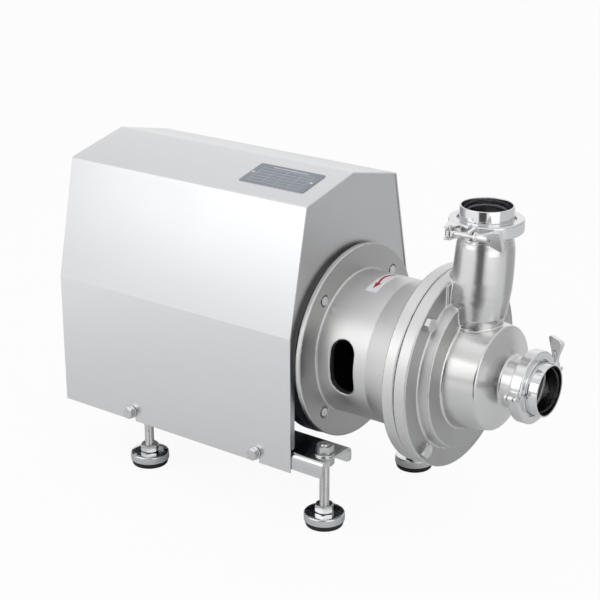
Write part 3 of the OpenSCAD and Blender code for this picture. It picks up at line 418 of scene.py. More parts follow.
def make_finish(
    name, colour, metal, rough, smear_scale, grain=None, blast=None, wear=0.0, worn=None, spread=0.06,
    bore_shade=None, buffed=None, face_shade=None
):
    """A finish from a colour, a range of roughness, a texture and layers, some of them painted shade."""
    paint = bpy.data.materials.new(name)
    paint.use_nodes = True
    paint.diffuse_color = (*colour, 1.0)
    tree = paint.node_tree
    shade = tree.nodes["Principled BSDF"].inputs
    feed(tree, shade["Metallic"], metal)
    level = use_effect(tree, "smear", Scale=smear_scale, Low=rough[0], High=rough[1])["Value"]
    if buffed:
        zones, gloss = buffed
        zone = math_node(tree, "MAXIMUM", *[bore_mask(tree, *z) for z in zones])
        level = blend_node(tree, "FLOAT", zone, level, gloss)
    feed(tree, shade["Roughness"], level)
    if grain:
        texture = use_effect(tree, "grain", Stretch=grain[0], Depth=grain[1])
    elif blast:
        texture = use_effect(tree, "blast", Scale=blast[0], Depth=blast[1])
    else:
        texture = use_effect(tree, "smear", Scale=smear_scale * PATCHES_FINER, Low=0.0, High=1.0)
    if grain or blast:
        feed(tree, shade["Normal"], texture["Normal"])
    layers = [(texture[0], shaded(colour, 1 + spread))]
    if wear:
        layers.append((use_effect(tree, "wear", Amount=wear)["Mask"], shaded(worn or colour, 1.0)))
    # Painted shade: faces square to the shaft get a darker colour.
    if face_shade:
        layers.append((use_effect(tree, "face")["Mask"], shaded(colour, face_shade)))
    # Painted shade: the inside of a bore gets a darker colour, near black in the lantern.
    if bore_shade:
        layers.append((bore_mask(tree, *bore_shade[:3]), shaded(BORE_SHADE_TONE, bore_shade[3])))
    result = shaded(colour, 1 - spread)
    for mask, above in layers:
        result = blend_node(tree, "RGBA", mask, result, above)
    feed(tree, shade["Base Color"], result)
    return paint


print("finish maker with", len(EFFECTS), "effects")


# %% Steel
BRIGHT = (0.86, 0.865, 0.87)
RUBBED = {"wear": 0.8, "worn": BRIGHT}
ROLLED = {"grain": ((30.0, 900.0, 900.0), 0.05), "spread": 0.03}
ROLLED_UPRIGHT = {"grain": ((900.0, 900.0, 30.0), 0.05), "spread": 0.03}
LONG_GRAIN, THIN_LINES = (25.0, 700.0, 700.0), (3000.0, 30.0, 30.0)
WOUND, ETCHED = (60.0, 1400.0, 1400.0), (60.0, 2500.0, 2500.0)
CAST_GREY, BEADS = (0.74, 0.74, 0.735), {"blast": (1300.0, 0.10)}
MIRROR = ((0.78, 0.785, 0.795), (0.09, 0.15), 30.0)
ABOUT_OUTLET = ((SHAFT[0] + 0.1453, 0.0, 0.0), (1.0, 1.0, 0.0))
TURNED_BRIGHT = ([(0.0575, *ABOUT_SHAFT), (0.0325, *ABOUT_OUTLET)], 0.24)
# The lantern's hollow is painted near black, as painted shade.
LANTERN_INSIDE_SHADE = (0.066, *ABOUT_SHAFT, 0.018)
PORT_MOUTH = 0.0242
# key: name, colour, range of roughness, scale of the smears, texture and layers
STEEL = {
    "cover": ("satin_sheet", (0.80, 0.805, 0.815), (0.30, 0.36), 6.0, ROLLED),
    # The front plate: the cover's satin sheet in a darker colour, as painted shade.
    "front_sheet": ("satin_upright_painted_shade", (0.60, 0.605, 0.61), (0.32, 0.38), 8.0, ROLLED_UPRIGHT),
    # Casing and lantern: faces square to the shaft are painted darker, as painted shade.
    "casing": ("blasted_casing", CAST_GREY, (0.40, 0.47), 11.0, {**BEADS, "face_shade": 0.64}),
    "lantern": ("blasted_lantern", CAST_GREY, (0.36, 0.44), 11.0, {**BEADS, "face_shade": 0.68}),
    "polished": ("polished_steel", *MIRROR, {"spread": 0.03}),
    # The tube ends: the inside of each bore is painted darker, as painted shade.
    "inlet_tube": ("inlet_tube", *MIRROR, {"bore_shade": (PORT_MOUTH, *ABOUT_SHAFT, 0.42)}),
    "outlet_tube": ("outlet_tube", *MIRROR, {"bore_shade": (PORT_MOUTH, *ABOUT_OUTLET, 0.7)}),
    "cast": ("tumbled_steel", (0.76, 0.762, 0.77), (0.15, 0.22), 40.0, {"blast": (700.0, 0.03)}),
    "rail": ("rail_steel", (0.72, 0.725, 0.735), (0.12, 0.19), 14.0, {"grain": (LONG_GRAIN, 0.04), **RUBBED}),
    "fastener": ("fastener_steel", (0.70, 0.70, 0.70), (0.16, 0.26), 60.0, RUBBED),
    "core": ("core_steel", (0.30, 0.30, 0.31), (0.4, 0.5), 30.0, {"grain": (THIN_LINES, 0.2)}),
    "dark_steel": ("oiled_steel", (0.07, 0.07, 0.072), (0.3, 0.4), 30.0, {}),
    "copper": ("varnished_copper", (0.48, 0.19, 0.06), (0.25, 0.38), 60.0, {"grain": (WOUND, 0.4)}),
    "plate": ("etched_plate", (0.30, 0.33, 0.37), (0.30, 0.4), 40.0, {"grain": (ETCHED, 0.06)}),
    "ruling": ("etched_lines", (0.62, 0.65, 0.68), (0.35, 0.45), 60.0, {}),
}
STEEL["casing"][4]["buffed"] = TURNED_BRIGHT
# Painted shade: the lantern's hollow is painted near black.
STEEL["lantern"][4]["bore_shade"] = LANTERN_INSIDE_SHADE
print("steel finishes:", len(STEEL))

# %% Paint, rubber, plastic and film
OTHER = {
    "motor": ("motor_enamel", (0.020, 0.024, 0.034), (0.32, 0.45), 20.0, {"blast": (500.0, 0.08)}),
    "fan_sheet": ("fan_sheet_enamel", (0.022, 0.026, 0.036), (0.38, 0.5), 16.0, {}),
    "rubber": ("foot_rubber", (0.012, 0.012, 0.013), (0.55, 0.72), 50.0, {"blast": (1500.0, 0.12)}),
    "plastic": ("black_plastic", (0.016, 0.016, 0.018), (0.35, 0.48), 40.0, {"blast": (1800.0, 0.06)}),
    "white_seal": ("white_seal", (0.72, 0.71, 0.68), (0.45, 0.6), 40.0, {"blast": (900.0, 0.05)}),
    "carbon": ("carbon_seal", (0.03, 0.03, 0.032), (0.3, 0.42), 40.0, {"blast": (1600.0, 0.05)}),
    "film": ("label_film", (0.86, 0.87, 0.90), (0.28, 0.36), 50.0, {"spread": 0.02}),
    "arrow": ("arrow_ink", (0.44, 0.008, 0.03), (0.3, 0.4), 60.0, {}),
}
FINISH = {}
for metal, table in ((1.0, STEEL), (0.0, OTHER)):
    for key, (name, colour, rough, scale, more) in table.items():
        FINISH[key] = make_finish(name, colour, metal, rough, scale, **more)
print("finishes:", len(FINISH))

# %% [markdown]
# ## Shapes from rings, outlines and hexagons
# Most pieces are turned, folded or six-sided. A turned piece is a ring of points for each corner of
# its outline, and a real one never has a knife edge, so every corner gets a small arc first. All
# places are in millimetres from the middle of the lantern's rear flange, with X along the shaft.

# %% Shape helpers
MM = 0.001
WELD = 2e-6
ARC_ROOM, NEARLY_STRAIGHT = 0.49, 1.55
CHAMFER_SHARE, CHAMFER_SLOPE = 0.97, 30.0
ROD_END_LONG, ROD_END_DEEP = 1.2, 0.9
BEVEL_ANGLE = 50.0


def place(points):
    """Millimetres about the shaft, as the model's metres."""
    return np.asarray(points, float) * MM + SHAFT


def soft_corners(corners, closed=True, steps=4):
    """An outline from (a, b, radius) corners, each turned into a small arc."""
    outline = []
    last = len(corners) - 1
    for i, (a, b, radius) in enumerate(corners):
        corner = np.array((a, b), float)
        if radius <= 0 or (not closed and i in (0, last)):
            outline.append(corner)
            continue
        before = np.array(corners[i - 1][:2], float) - corner
        after = np.array(corners[(i + 1) % (last + 1)][:2], float) - corner
        room = ARC_ROOM * min(np.linalg.norm(before), np.linalg.norm(after))
        before /= np.linalg.norm(before)
        after /= np.linalg.norm(after)
        half = math.acos(max(-1.0, min(1.0, before @ after))) / 2
        if half > NEARLY_STRAIGHT:
            outline.append(corner)
            continue
        reach = min(radius / math.tan(half), room)
        arc = reach * math.tan(half)
        middle = corner + (before + after) / np.linalg.norm(before + after) * arc / math.sin(half)
        start = corner + before * reach - middle
        end = corner + after * reach - middle
        first = math.atan2(start[1], start[0])
        turn = (math.atan2(end[1], end[0]) - first + math.pi) % (2 * math.pi) - math.pi
        for k in range(steps + 1):
            angle = first + turn * k / steps
            outline.append(middle + arc * np.array((math.cos(angle), math.sin(angle))))
    return np.array(outline)


def ring_faces(rows, turns, closed=True, skip=()):
    """Quads from each ring of points to the next."""
    faces = []
    for i in range(rows if closed else rows - 1):
        if i in skip:
            continue
        here, there = i * turns, (i + 1) % rows * turns
        for k in range(turns):
            m = (k + 1) % turns
            faces.append((here + k, here + m, there + m, there + k))
    return faces


def ring_points(radius, height, angle):
    """Rings about Z from a radius and a height for each row."""
    return np.stack([radius * np.cos(angle), radius * np.sin(angle), height + 0 * angle], -1).reshape(-1, 3)


def lathe(outline, turns=96):
    """A closed (height, radius) outline turned about Z."""
    angle = np.arange(turns) * 2 * math.pi / turns
    height, radius = np.asarray(outline, float).T
    on_axis = np.flatnonzero(np.maximum(radius, np.roll(radius, -1)) < 1e-6)
    points = ring_points(radius[:, None], height[:, None], angle)
    return points, ring_faces(len(outline), turns, skip=on_axis)


def rod(low, high, radius, edges, turns):
    """A round rod or washer about Z, with the edge radius of its two ends."""
    corners = [(low, 0.0, 0), (low, radius, edges[0]), (high, radius, edges[1]), (high, 0.0, 0)]
    return lathe(soft_corners(corners), turns)


def hexagon(low, high, across, bore, turns=72, both_ends=True):
    """A nut or bolt head about Z, with the round chamfer that turning leaves on its corners."""
    angle = np.arange(turns) * 2 * math.pi / turns
    flat = across / 2 / np.cos((angle + math.pi / 6) % (math.pi / 3) - math.pi / 6)
    circle = np.full(turns, across / 2 * CHAMFER_SHARE)
    cut = (flat - circle) * math.tan(math.radians(CHAMFER_SLOPE))
    bottom = cut if both_ends else 0 * cut
    inner = np.full(turns, max(bore, 0.01))
    rows = [
        (inner, low + 0 * cut),
        (circle if both_ends else flat, low + 0 * cut),
        (flat, low + bottom),
        (flat, high - cut),
        (circle, high + 0 * cut),
        (inner, high + 0 * cut),
    ]
    radius, height = np.array(rows).transpose(1, 0, 2)
    return ring_points(radius, height, angle), ring_faces(len(rows), turns)


def thread(radius, pitch, low, high, depth, turns=28, rows_per_pitch=5):
    """A threaded rod about Z, with a helical groove and a plain chamfered end."""
    angle = np.arange(turns) * 2 * math.pi / turns
    heights = np.arange(low, high, pitch / rows_per_pitch)
    wave = (heights[:, None] / pitch - angle[None] / (2 * math.pi)) % 1.0
    groove = depth * np.abs(2 * wave - 1)
    ends = np.clip(np.minimum(heights - low, high - heights) / ROD_END_LONG, 0.0, 1.0)[:, None]
    ring = (radius - groove) - (1 - ends) * ROD_END_DEEP
    faces = ring_faces(len(heights), turns, closed=False)
    faces.append(tuple(range(turns))[::-1])
    faces.append(tuple((len(heights) - 1) * turns + k for k in range(turns)))
    return ring_points(ring, heights[:, None], angle), faces


def prism(outline, low, high):
    """A flat outline in X and Y, drawn up from low to high."""
    outline = np.asarray(outline, float)
    count = len(outline)
    bottom = np.column_stack([outline, np.full(count, low)])
    top = np.column_stack([outline, np.full(count, high)])
    faces = [tuple(range(count))[::-1], tuple(range(count, 2 * count))]
    return np.vstack([bottom, top]), faces + ring_faces(2, count, closed=False)


def rotation(axis, degrees):
    """A turn about one axis as a matrix."""
    return np.array(Matrix.Rotation(math.radians(degrees), 3, axis))


def turned(shape, axis, degrees):
    """A shape turned about one of the axes."""
    return shape[0] @ rotation(axis, degrees).T, shape[1]


def moved(shape, x=0.0, y=0.0, z=0.0):
    """A shape moved by millimetres."""
    return shape[0] + np.array((x, y, z)), shape[1]


def along_shaft(shape):
    """A shape made about Z, laid along X."""
    return turned(shape, "Y", 90)


def joined(shapes):
    """Several shapes as one."""
    points, faces, start = [], [], 0
    for p, f in shapes:
        points.append(p)
        faces += [tuple(i + start for i in face) for face in f]
        start += len(p)
    return np.vstack(points), faces


print("points on a bolt head:", len(hexagon(0.0, 5.5, 13.0, 0.0)[0]))


# %% Piece maker
def new_mesh(name, shape):
    """A mesh in metres from a shape in millimetres."""
    mesh = bpy.data.meshes.new(name)
    mesh.from_pydata(place(shape[0]).tolist(), [], shape[1])
    return mesh


def tidy_mesh(mesh, weld=True):
    """Turns every face outwards, after welding doubled points."""
    tidy = bmesh.new()
    tidy.from_mesh(mesh)
    if weld:
        bmesh.ops.remove_doubles(tidy, verts=tidy.verts, dist=WELD)
        bmesh.ops.dissolve_degenerate(tidy, edges=tidy.edges, dist=WELD / 2)
    bmesh.ops.recalc_face_normals(tidy, faces=tidy.faces)
    tidy.to_mesh(mesh)
    tidy.free()


def add_piece(name, shape, body, slot, finish, stands_for=(), sharp=38.0, bevel=0.0, normals=None):
    """A finished piece on its body, standing for the solids that it hides."""
    mesh = new_mesh(name, shape)
    if normals is None:
        tidy_mesh(mesh)
    mesh.shade_smooth()
    if normals is None:
        mesh.set_sharp_from_angle(angle=math.radians(sharp))
    else:
        mesh.normals_split_custom_set_from_vertices(normals.tolist())
    mesh.materials.append(FINISH[finish])
    piece = in_scene(name, mesh)
    if bevel:
        edge = piece.modifiers.new("broken_edges", "BEVEL")
        edge.width = bevel * MM
        edge.segments = 2
        edge.limit_method = "ANGLE"
        edge.angle_limit = math.radians(BEVEL_ANGLE)
        edge.harden_normals = True
    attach(piece, body)
    if stands_for:
        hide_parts(*stands_for)
    return piece


def add_casting(name, net, body, slot, finish, stands_for):
    """A piece from a net and its own normals."""
    shape, normals = net
    return add_piece(name, shape, body, slot, finish, stands_for, normals=normals)


print("finishes to choose from:", sorted(FINISH))


# %% [markdown]
# ## Castings from distance fields
# The lantern, casing, clamps and wing nuts are cast, then blasted or tumbled, so every inner corner
# has a fillet and every outer one is round. Bevels on joined meshes tear at such places. A distance
# field says how far any point is from the surface, two fields join with a true fillet, and a net of
# quads is drawn round the zero level. Its vertex normals come from the field, so it shades cleanly.


# %% Field helpers
def outline_distance(points, outline):
    """Signed distance of 2D points to a closed outline, negative inside."""
    nearest = np.full(len(points), 1e12)
    inside = np.zeros(len(points), bool)
    for a, b in zip(outline, np.roll(outline, -1, 0)):
        edge = b - a
        length = edge @ edge
        if length < 1e-12:
            continue
        reach = points - a
        share = np.clip(reach @ edge / length, 0.0, 1.0)
        away = reach - share[:, None] * edge
        nearest = np.minimum(nearest, (away * away).sum(1))
        if abs(edge[1]) > 1e-12:
            crosses = (a[1] > points[:, 1]) != (b[1] > points[:, 1])
            inside ^= crosses & (points[:, 0] < a[0] + edge[0] * (points[:, 1] - a[1]) / edge[1])
    return np.where(inside, -1.0, 1.0) * np.sqrt(nearest)


def rounded(parts, edge):
    """The meeting of several fields, each already moved in by the edge's radius."""
    away = np.stack(parts, 1)
    return np.linalg.norm(np.maximum(away, 0.0), axis=1) + np.minimum(away.max(1), 0.0) - edge


def slab(points, low, high, edge=0.0):
    """Distance to a box with rounded edges."""
    low = np.asarray(low, float)
    high = np.asarray(high, float)
    away = np.abs(points - (low + high) / 2) - (high - low) / 2 + edge
    return rounded(away.T, edge)


def barrel(points, centre, axis, radius, low, high, edge=0.0):
    """Distance to a cylinder along one axis, with rounded ends."""
    across = [i for i in range(3) if i != axis]
    round_part = np.hypot(points[:, across[0]] - centre[0], points[:, across[1]] - centre[1]) - radius + edge
    flat_part = np.abs(points[:, axis] - (low + high) / 2) - (high - low) / 2 + edge
    return rounded([round_part, flat_part], edge)


def fused(a, b, fillet):
    """Two fields joined with a fillet."""
    inner = np.hypot(np.maximum(fillet - a, 0.0), np.maximum(fillet - b, 0.0))
    return np.maximum(fillet, np.minimum(a, b)) - inner


def common(a, b, round_off):
    """What two fields share, with a rounded edge."""
    return -fused(-a, -b, round_off)


def carved(a, b, round_off):
    """The first field without the second, with a rounded rim."""
    return common(a, -b, round_off)


print("1 mm from two faces, with a 2 mm fillet:", round(float(fused(1.0, 1.0, 2.0)), 3), "mm left")


# %% Net round a field
STEP, NEAR = 4, 1.1
PULLS, PULL_REACH, PULL_MOST, STEEP_LEAST = 3, 0.03, 0.6, 0.2
NORMAL_REACH = 0.05
CORNERS = np.indices((2, 2, 2)).reshape(3, -1).T


def field_values(field, low, high, cell):
    """Field values on a grid, worked out in full only near the surface."""
    low = np.asarray(low, float)
    blocks = np.ceil((np.asarray(high, float) - low) / (cell * STEP)).astype(int) + 1
    corner = np.indices(blocks).reshape(3, -1).T * STEP
    rough = field(low + (corner + (STEP - 1) / 2) * cell)
    values = rough.reshape(blocks)
    for axis in range(3):
        values = np.repeat(values, STEP, axis)
    near = corner[np.abs(rough) < STEP * cell * NEAR]
    offsets = np.indices((STEP,) * 3).reshape(3, -1).T
    spots = (near[:, None] + offsets[None]).reshape(-1, 3)
    values[tuple(spots.T)] = field(low + spots * cell)
    return values


def slope_of(field, points, reach):
    """Direction in which a field grows."""
    slope = np.empty_like(points)
    for axis in range(3):
        shift = np.zeros(3)
        shift[axis] = reach
        slope[:, axis] = (field(points + shift) - field(points - shift)) / (2 * reach)
    return slope


def crossed_cells(inside):
    """The grid cells that the surface passes through."""
    size = np.array(inside.shape) - 1
    filled = np.zeros(size, np.int8)
    for a, b, c in CORNERS:
        filled += inside[a:a + size[0], b:b + size[1], c:c + size[2]]
    return np.argwhere((filled > 0) & (filled < 8))


def crossing_middles(values, cells):
    """The middle of each cell's crossings, counted in cells."""
    total = np.zeros((len(cells), 3))
    count = np.zeros((len(cells), 1))
    for c in CORNERS:
        for axis in range(3):
            if c[axis]:
                continue
            d = c.copy()
            d[axis] = 1
            here = values[tuple((cells + c).T)]
            there = values[tuple((cells + d).T)]
            cut = (here < 0) != (there < 0)
            share = np.where(cut, here / np.where(cut, here - there, 1.0), 0.0)
            total += cut[:, None] * (c + share[:, None] * (d - c))
            count += cut[:, None]
    return cells + total / count


def net_quads(inside, number):
    """A quad round every grid edge that the surface crosses."""
    size = number.shape
    quads = []
    for axis in range(3):
        one, two = (axis + 1) % 3, (axis + 2) % 3
        edge = np.argwhere(inside != np.roll(inside, -1, axis))
        keep = (edge[:, axis] < size[axis]) & (edge[:, one] > 0) & (edge[:, two] > 0)
        keep &= (edge[:, one] < size[one]) & (edge[:, two] < size[two])
        edge = edge[keep]
        ring = []
        for s, t in ((0, 0), (1, 0), (1, 1), (0, 1)):
            spot = edge.copy()
            spot[:, one] -= s
            spot[:, two] -= t
            ring.append(number[tuple(spot.T)])
        ring = np.stack(ring, 1)
        flip = ~inside[tuple(edge.T)]
        ring[flip] = ring[flip][:, ::-1]
        quads.append(ring)
    return [tuple(int(i) for i in quad) for quad in np.vstack(quads)]


def cast_net(field, low, high, cell):
    """A net of quads round a field's zero level, with the field's own normals."""
    values = field_values(field, low, high, cell)
    inside = values < 0
    cells = crossed_cells(inside)
    number = np.full(np.array(values.shape) - 1, -1)
    number[tuple(cells.T)] = np.arange(len(cells))
    points = np.asarray(low, float) + crossing_middles(values, cells) * cell
    for _ in range(PULLS):
        slope = slope_of(field, points, PULL_REACH)
        steep = np.maximum((slope * slope).sum(1), STEEP_LEAST)
        step = slope * (field(points) / steep)[:, None]
        points -= np.clip(step, -PULL_MOST * cell, PULL_MOST * cell)
    normals = slope_of(field, points, NORMAL_REACH)
    normals /= np.maximum(np.linalg.norm(normals, axis=1, keepdims=True), 1e-9)
    return (points, net_quads(inside, number)), normals


print("blocks of", STEP**3, "cells, and", PULLS, "pulls onto the surface")


# %% [markdown]
# ## The cover
# The cover is one sheet, folded along five lines, with a flat plate in front and one behind. It
# could be a solidified plane, but the folds need their bend radius and the sheet its cut edge, so
# the outline is drawn twice, outside and inside, and run along the pump. The open slots that slide
# over the bolts are cut with a Boolean, whose result is kept as plain mesh.

# %% Cover shell
COVER_BACK, COVER_FRONT = -311.5, -4.9
SHEET = 1.5
SKIRT, WAIST, SHOULDER, RIDGE = -111.0, 30.0, 155.4, 172.6
HALF_WIDTH, SHOULDER_HALF = 102.5, 76.0
BEND = 3.5
BOLT_X = (-48.5, -214.9)
BOLT_Z = -101.0
SLOT_HALF = 4.4


def cover_outline(inset):
    """The folded outline in Y and Z, moved in by an inset."""
    corners = [
        (-HALF_WIDTH, SKIRT),
        (-HALF_WIDTH, WAIST),
        (-SHOULDER_HALF, SHOULDER),
        (0.0, RIDGE),
        (SHOULDER_HALF, SHOULDER),
        (HALF_WIDTH, WAIST),
        (HALF_WIDTH, SKIRT),
    ]
    spots = np.array(corners)
    sides = spots[1:] - spots[:-1]
    inward = np.stack([sides[:, 1], -sides[:, 0]], 1) / np.linalg.norm(sides, axis=1, keepdims=True)
    shifted = [spots[0] + inset * inward[0]]
    for i in range(1, 6):
        a, b = inward[i - 1], inward[i]
        shifted.append(spots[i] + inset * (a + b) / (1 + a @ b))
    shifted.append(spots[6] + inset * inward[5])
    return soft_corners([(y, z, BEND - inset) for y, z in shifted], closed=False, steps=5)


def prism_along_shaft(outline, low, high):
    """A flat outline in Y and Z, run along X."""
    points, faces = prism(outline, low, high)
    return np.column_stack([points[:, 2], points[:, 0], points[:, 1]]), faces


def end_strips(count):
    """A strip of quads for each end of a prism whose outline runs out and back."""
    strips = []
    for start in (0, count):
        for i in range(count // 2 - 1):
            strips.append((start + i, start + i + 1, start + count - 2 - i, start + count - 1 - i))
    return strips


def sheet_along_shaft(outer, inner, low, high):
    """A folded sheet between two outlines in Y and Z, run along X."""
    loop = np.vstack([outer, inner[::-1]])
    points, faces = prism_along_shaft(loop, low, high)
    return points, end_strips(len(loop)) + faces[2:]


def cut_out(piece, cutter):
    """Takes one mesh out of another for good."""
    tool = new_mesh("cutter", cutter)
    tidy_mesh(tool, weld=False)
    knife = in_scene("cutter", tool)
    step = piece.modifiers.new("cut", "BOOLEAN")
    step.operation = "DIFFERENCE"
    step.object = knife
    step.solver = "EXACT"
    piece.modifiers.move(len(piece.modifiers) - 1, 0)
    held = [(m, m.show_viewport) for m in piece.modifiers if m != step]
    for m, _ in held:
        m.show_viewport = False
    bpy.context.view_layer.update()
    ready = piece.evaluated_get(bpy.context.evaluated_depsgraph_get())
    mesh = bpy.data.meshes.new_from_object(ready)
    piece.modifiers.remove(step)
    for m, shown in held:
        m.show_viewport = shown
    old = piece.data
    mesh.name = old.name + "_cut"
    piece.data = mesh
    bpy.data.meshes.remove(old)
    bpy.data.objects.remove(knife)
    bpy.data.meshes.remove(tool)


def slot_cutter(x, side):
    """A slot with a round top, open at the skirt."""
    turn = np.linspace(0, math.pi, 13)
    arc = [(x + SLOT_HALF * math.cos(a), BOLT_Z + SLOT_HALF * math.sin(a)) for a in turn]
    outline = arc + [(x - SLOT_HALF, SKIRT - 3), (x + SLOT_HALF, SKIRT - 3)]
    p, f = prism(outline, 96.0, 108.0)
    return np.column_stack([p[:, 0], side * p[:, 2], p[:, 1]]), f


# body and slot
ON_COVER = ("cover", "satin_steel")
shape = sheet_along_shaft(cover_outline(0.0), cover_outline(SHEET), COVER_BACK, COVER_FRONT)
shell = add_piece("folded_cover", shape, *ON_COVER, "cover", ["cover_shell"], sharp=28, bevel=0.35)
cut_out(shell, joined([slot_cutter(x, s) for x in BOLT_X for s in (-1, 1)]))
print("cover shell faces:", len(shell.data.polygons))

# %% Cover front plate
CUT_RADIUS = 93.8
LEG_FOOT = -88.5
FRONT_PLATE_X = (-7.4, -5.9)


def front_plate():
    """The front plate: the folded outline with a round-topped cut-out."""
    outside = [tuple(p) for p in cover_outline(SHEET) if p[1] > LEG_FOOT]
    arc = [(CUT_RADIUS * math.cos(a), CUT_RADIUS * math.sin(a)) for a in np.linspace(0, math.pi, 97)]
    half = HALF_WIDTH - SHEET
    outer_leg = [(half, LEG_FOOT + 3), (half - 3, LEG_FOOT)]
    right_leg = outer_leg + [(CUT_RADIUS + 2, LEG_FOOT), (CUT_RADIUS, LEG_FOOT + 2)]
    left_leg = [(-y, z) for y, z in right_leg[::-1]]
    return prism_along_shaft(outside + right_leg + arc + left_leg, *FRONT_PLATE_X)


# The front plate's finish is the cover's sheet painted darker, as painted shade.
plate = add_piece("cover_face", front_plate(), *ON_COVER, "front_sheet", ["cover_front_plate"], bevel=0.25)
print("front plate points:", len(plate.data.vertices))

# %% [markdown]
# ## The lantern
# The lantern is a turned casting between motor and pump: a thin rear flange, a plain barrel with an
# oval window on each side, and a shallow cone up to the front flange. A lathe would do without the
# windows. As a field, each window gets the soft rim that blasting leaves, and the cone its crease.

# %% Lantern
BARREL_R, BARREL_END, RIM_START, LANTERN_END = 73.0, 62.0, 98.0, 110.7
FLANGE_R, JOINT_R, FLARE = 99.4, 98.6, 7.0
FLANGE_X = (-1.4, 4.2)
SCREW_CIRCLE, SCREW_HOLE = 82.5, 5.8
WINDOW_X, WINDOW_HALF_W, WINDOW_HALF_H = 34.0, 13.5, 28.0
SPIGOT_X, SPIGOT_R = -12.0, 89.5
HOLLOW_X, HOLLOW_R, NECK_HOLE = (-8.0, 95.7), 65.0, 44.0
RECESS_X, RECESS_R = 105.7, 83.55


def lantern_outline():
    """The lantern's section in X and radius."""
    back, front = FLANGE_X
    start, end = HOLLOW_X
    corners = [(start, HOLLOW_R + 0.05, 0), (SPIGOT_X, HOLLOW_R + 0.05, 0)]
    corners += [(SPIGOT_X, SPIGOT_R, 0.5), (back, SPIGOT_R, 0.5)]
    corners += [(back, FLANGE_R, 0.9), (front, FLANGE_R, 0.9)]
    corners += [(front, BARREL_R, 2.0), (BARREL_END, BARREL_R, 0.0)]
    corners += [(RIM_START, BARREL_R + FLARE, 1.5), (RIM_START, JOINT_R, 1.2), (LANTERN_END, JOINT_R, 1.0)]
    corners += [(LANTERN_END, RECESS_R, 0.4), (RECESS_X, RECESS_R, 0), (RECESS_X, NECK_HOLE, 0.5)]
    corners += [(end, NECK_HOLE, 0.5), (end, HOLLOW_R, 2.0), (start, HOLLOW_R, 0)]
    return soft_corners(corners, steps=4)


LANTERN_LOOP = lantern_outline()


def lantern_field(p):
    """Turned section with a stadium window through each side."""
    body = outline_distance(np.stack([p[:, 0], np.hypot(p[:, 1], p[:, 2])], 1), LANTERN_LOOP)
    straight = WINDOW_HALF_H - WINDOW_HALF_W
    rise = p[:, 2] - np.clip(p[:, 2], -straight, straight)
    oval = np.hypot(p[:, 0] - WINDOW_X, rise) - WINDOW_HALF_W
    body = carved(body, np.maximum(oval, 20.0 - np.abs(p[:, 1])), 1.0)
    diagonal = SCREW_CIRCLE / math.sqrt(2)
    hole = np.hypot(np.abs(p[:, 1]) - diagonal, np.abs(p[:, 2]) - diagonal) - SCREW_HOLE
    return carved(body, np.maximum(hole, np.abs(p[:, 0] - 6.0) - 5.0), 0.3)


# body and slot
ON_BASE = ("base", "satin_steel")
lantern_net = cast_net(lantern_field, (-15, -104, -104), (115, 104, 104), 1.5)
add_casting("lantern_casting", lantern_net, *ON_BASE, "lantern", ["lantern"])
print("lantern faces:", len(lantern_net[0][1]))

# %% [markdown]
# ## The casing
# The casing carries everything that the liquid touches: flange, stepped ring, pump chamber, inlet
# nozzle and an outlet that leans a little and narrows below its clamp. The outlet grows out of the
# chamber through a fillet, and a pad ties it to the flange. One field holds it all.

# %% Casing
CASING_X, RING_X, CHAMBER_X, CHAMBER_FACE, DISH_RISE = 111.3, 124.4, 135.8, 169.0, 11.0
PORT_R, PORT_BORE = 25.4, 23.75
OUTLET_X, OUTLET_JOINT, INLET_JOINT = 145.3, 148.8, 201.8
LIP_R, LIP_ROOT = 32.0, 26.2
PAST_AXIS = -30.0
# outlet pipe: height, middle along the shaft, radius
PIPE_HEIGHTS = (40.0, 46.0, 50.0, 60.0, 75.0, 85.0, 98.0, 112.0, 125.0, 130.0, 135.0)
PIPE_MIDDLES = (139.8, 139.9, 140.0, 140.5, 141.3, 142.3, 143.5, 144.6, 145.3, 145.3, 145.3)
PIPE_RADII = (17.0, 21.2, 23.0, 26.0, 27.8, 28.4, 28.4, 27.9, 27.3, 26.7, 25.5)
WEB_MIDDLES = (136.0, 136.0, 136.0, 136.0, 136.0, 136.6, 139.0, 144.6, 145.3, 145.3, 145.3)
WEB_SHRINK = ((78.0, 108.0), (0.0, 7.0))
PIPE_ENDS, WEB_ENDS = (40.0, 135.0), (56.0, 115.0)
PAD_LOW, PAD_HIGH, PAD_R = (118, -31.5, 52), (126.0, 31.5, 120), 97.0


def lip(joint):
    """Corners of a port's lip, up to its joint."""
    corners = [(joint - 4.7, PORT_R, 0.8), (joint - 4.7, LIP_ROOT, 0), (joint - 2.6, LIP_R, 0.5)]
    return corners + [(joint - 0.8, LIP_R, 0.4), (joint - 0.8, PAST_AXIS, 0)]


def casing_outline():
    """The casing's outside as a section in X and radius."""
    corners = [
        (CASING_X, PAST_AXIS, 0),
        (CASING_X, JOINT_R, 1.0),
        (RING_X, JOINT_R, 1.2),
        (RING_X, 78.8, 2.4),
        (CHAMBER_X, 76.4, 1.1),
        (CHAMBER_X, 56.2, 2.2),
        (CHAMBER_FACE, 51.0, 2.5),
        (CHAMBER_FACE + DISH_RISE, PORT_R, 3.0),
    ]
    return soft_corners(corners + lip(INLET_JOINT), steps=5)


def neck_outline():
    """The outlet's neck and lip as a section in height and radius."""
    corners = [(128.0, PAST_AXIS, 0), (128.0, 22.0, 0), (135.5, PORT_R, 0)]
    return soft_corners(corners + lip(OUTLET_JOINT), steps=4)


CASING_LOOP, NECK_LOOP = casing_outline(), neck_outline()


def kept_between(field, height, ends):
    """A field cut off flat at two heights."""
    return np.maximum(field, np.maximum(ends[0] - height, height - ends[1]))


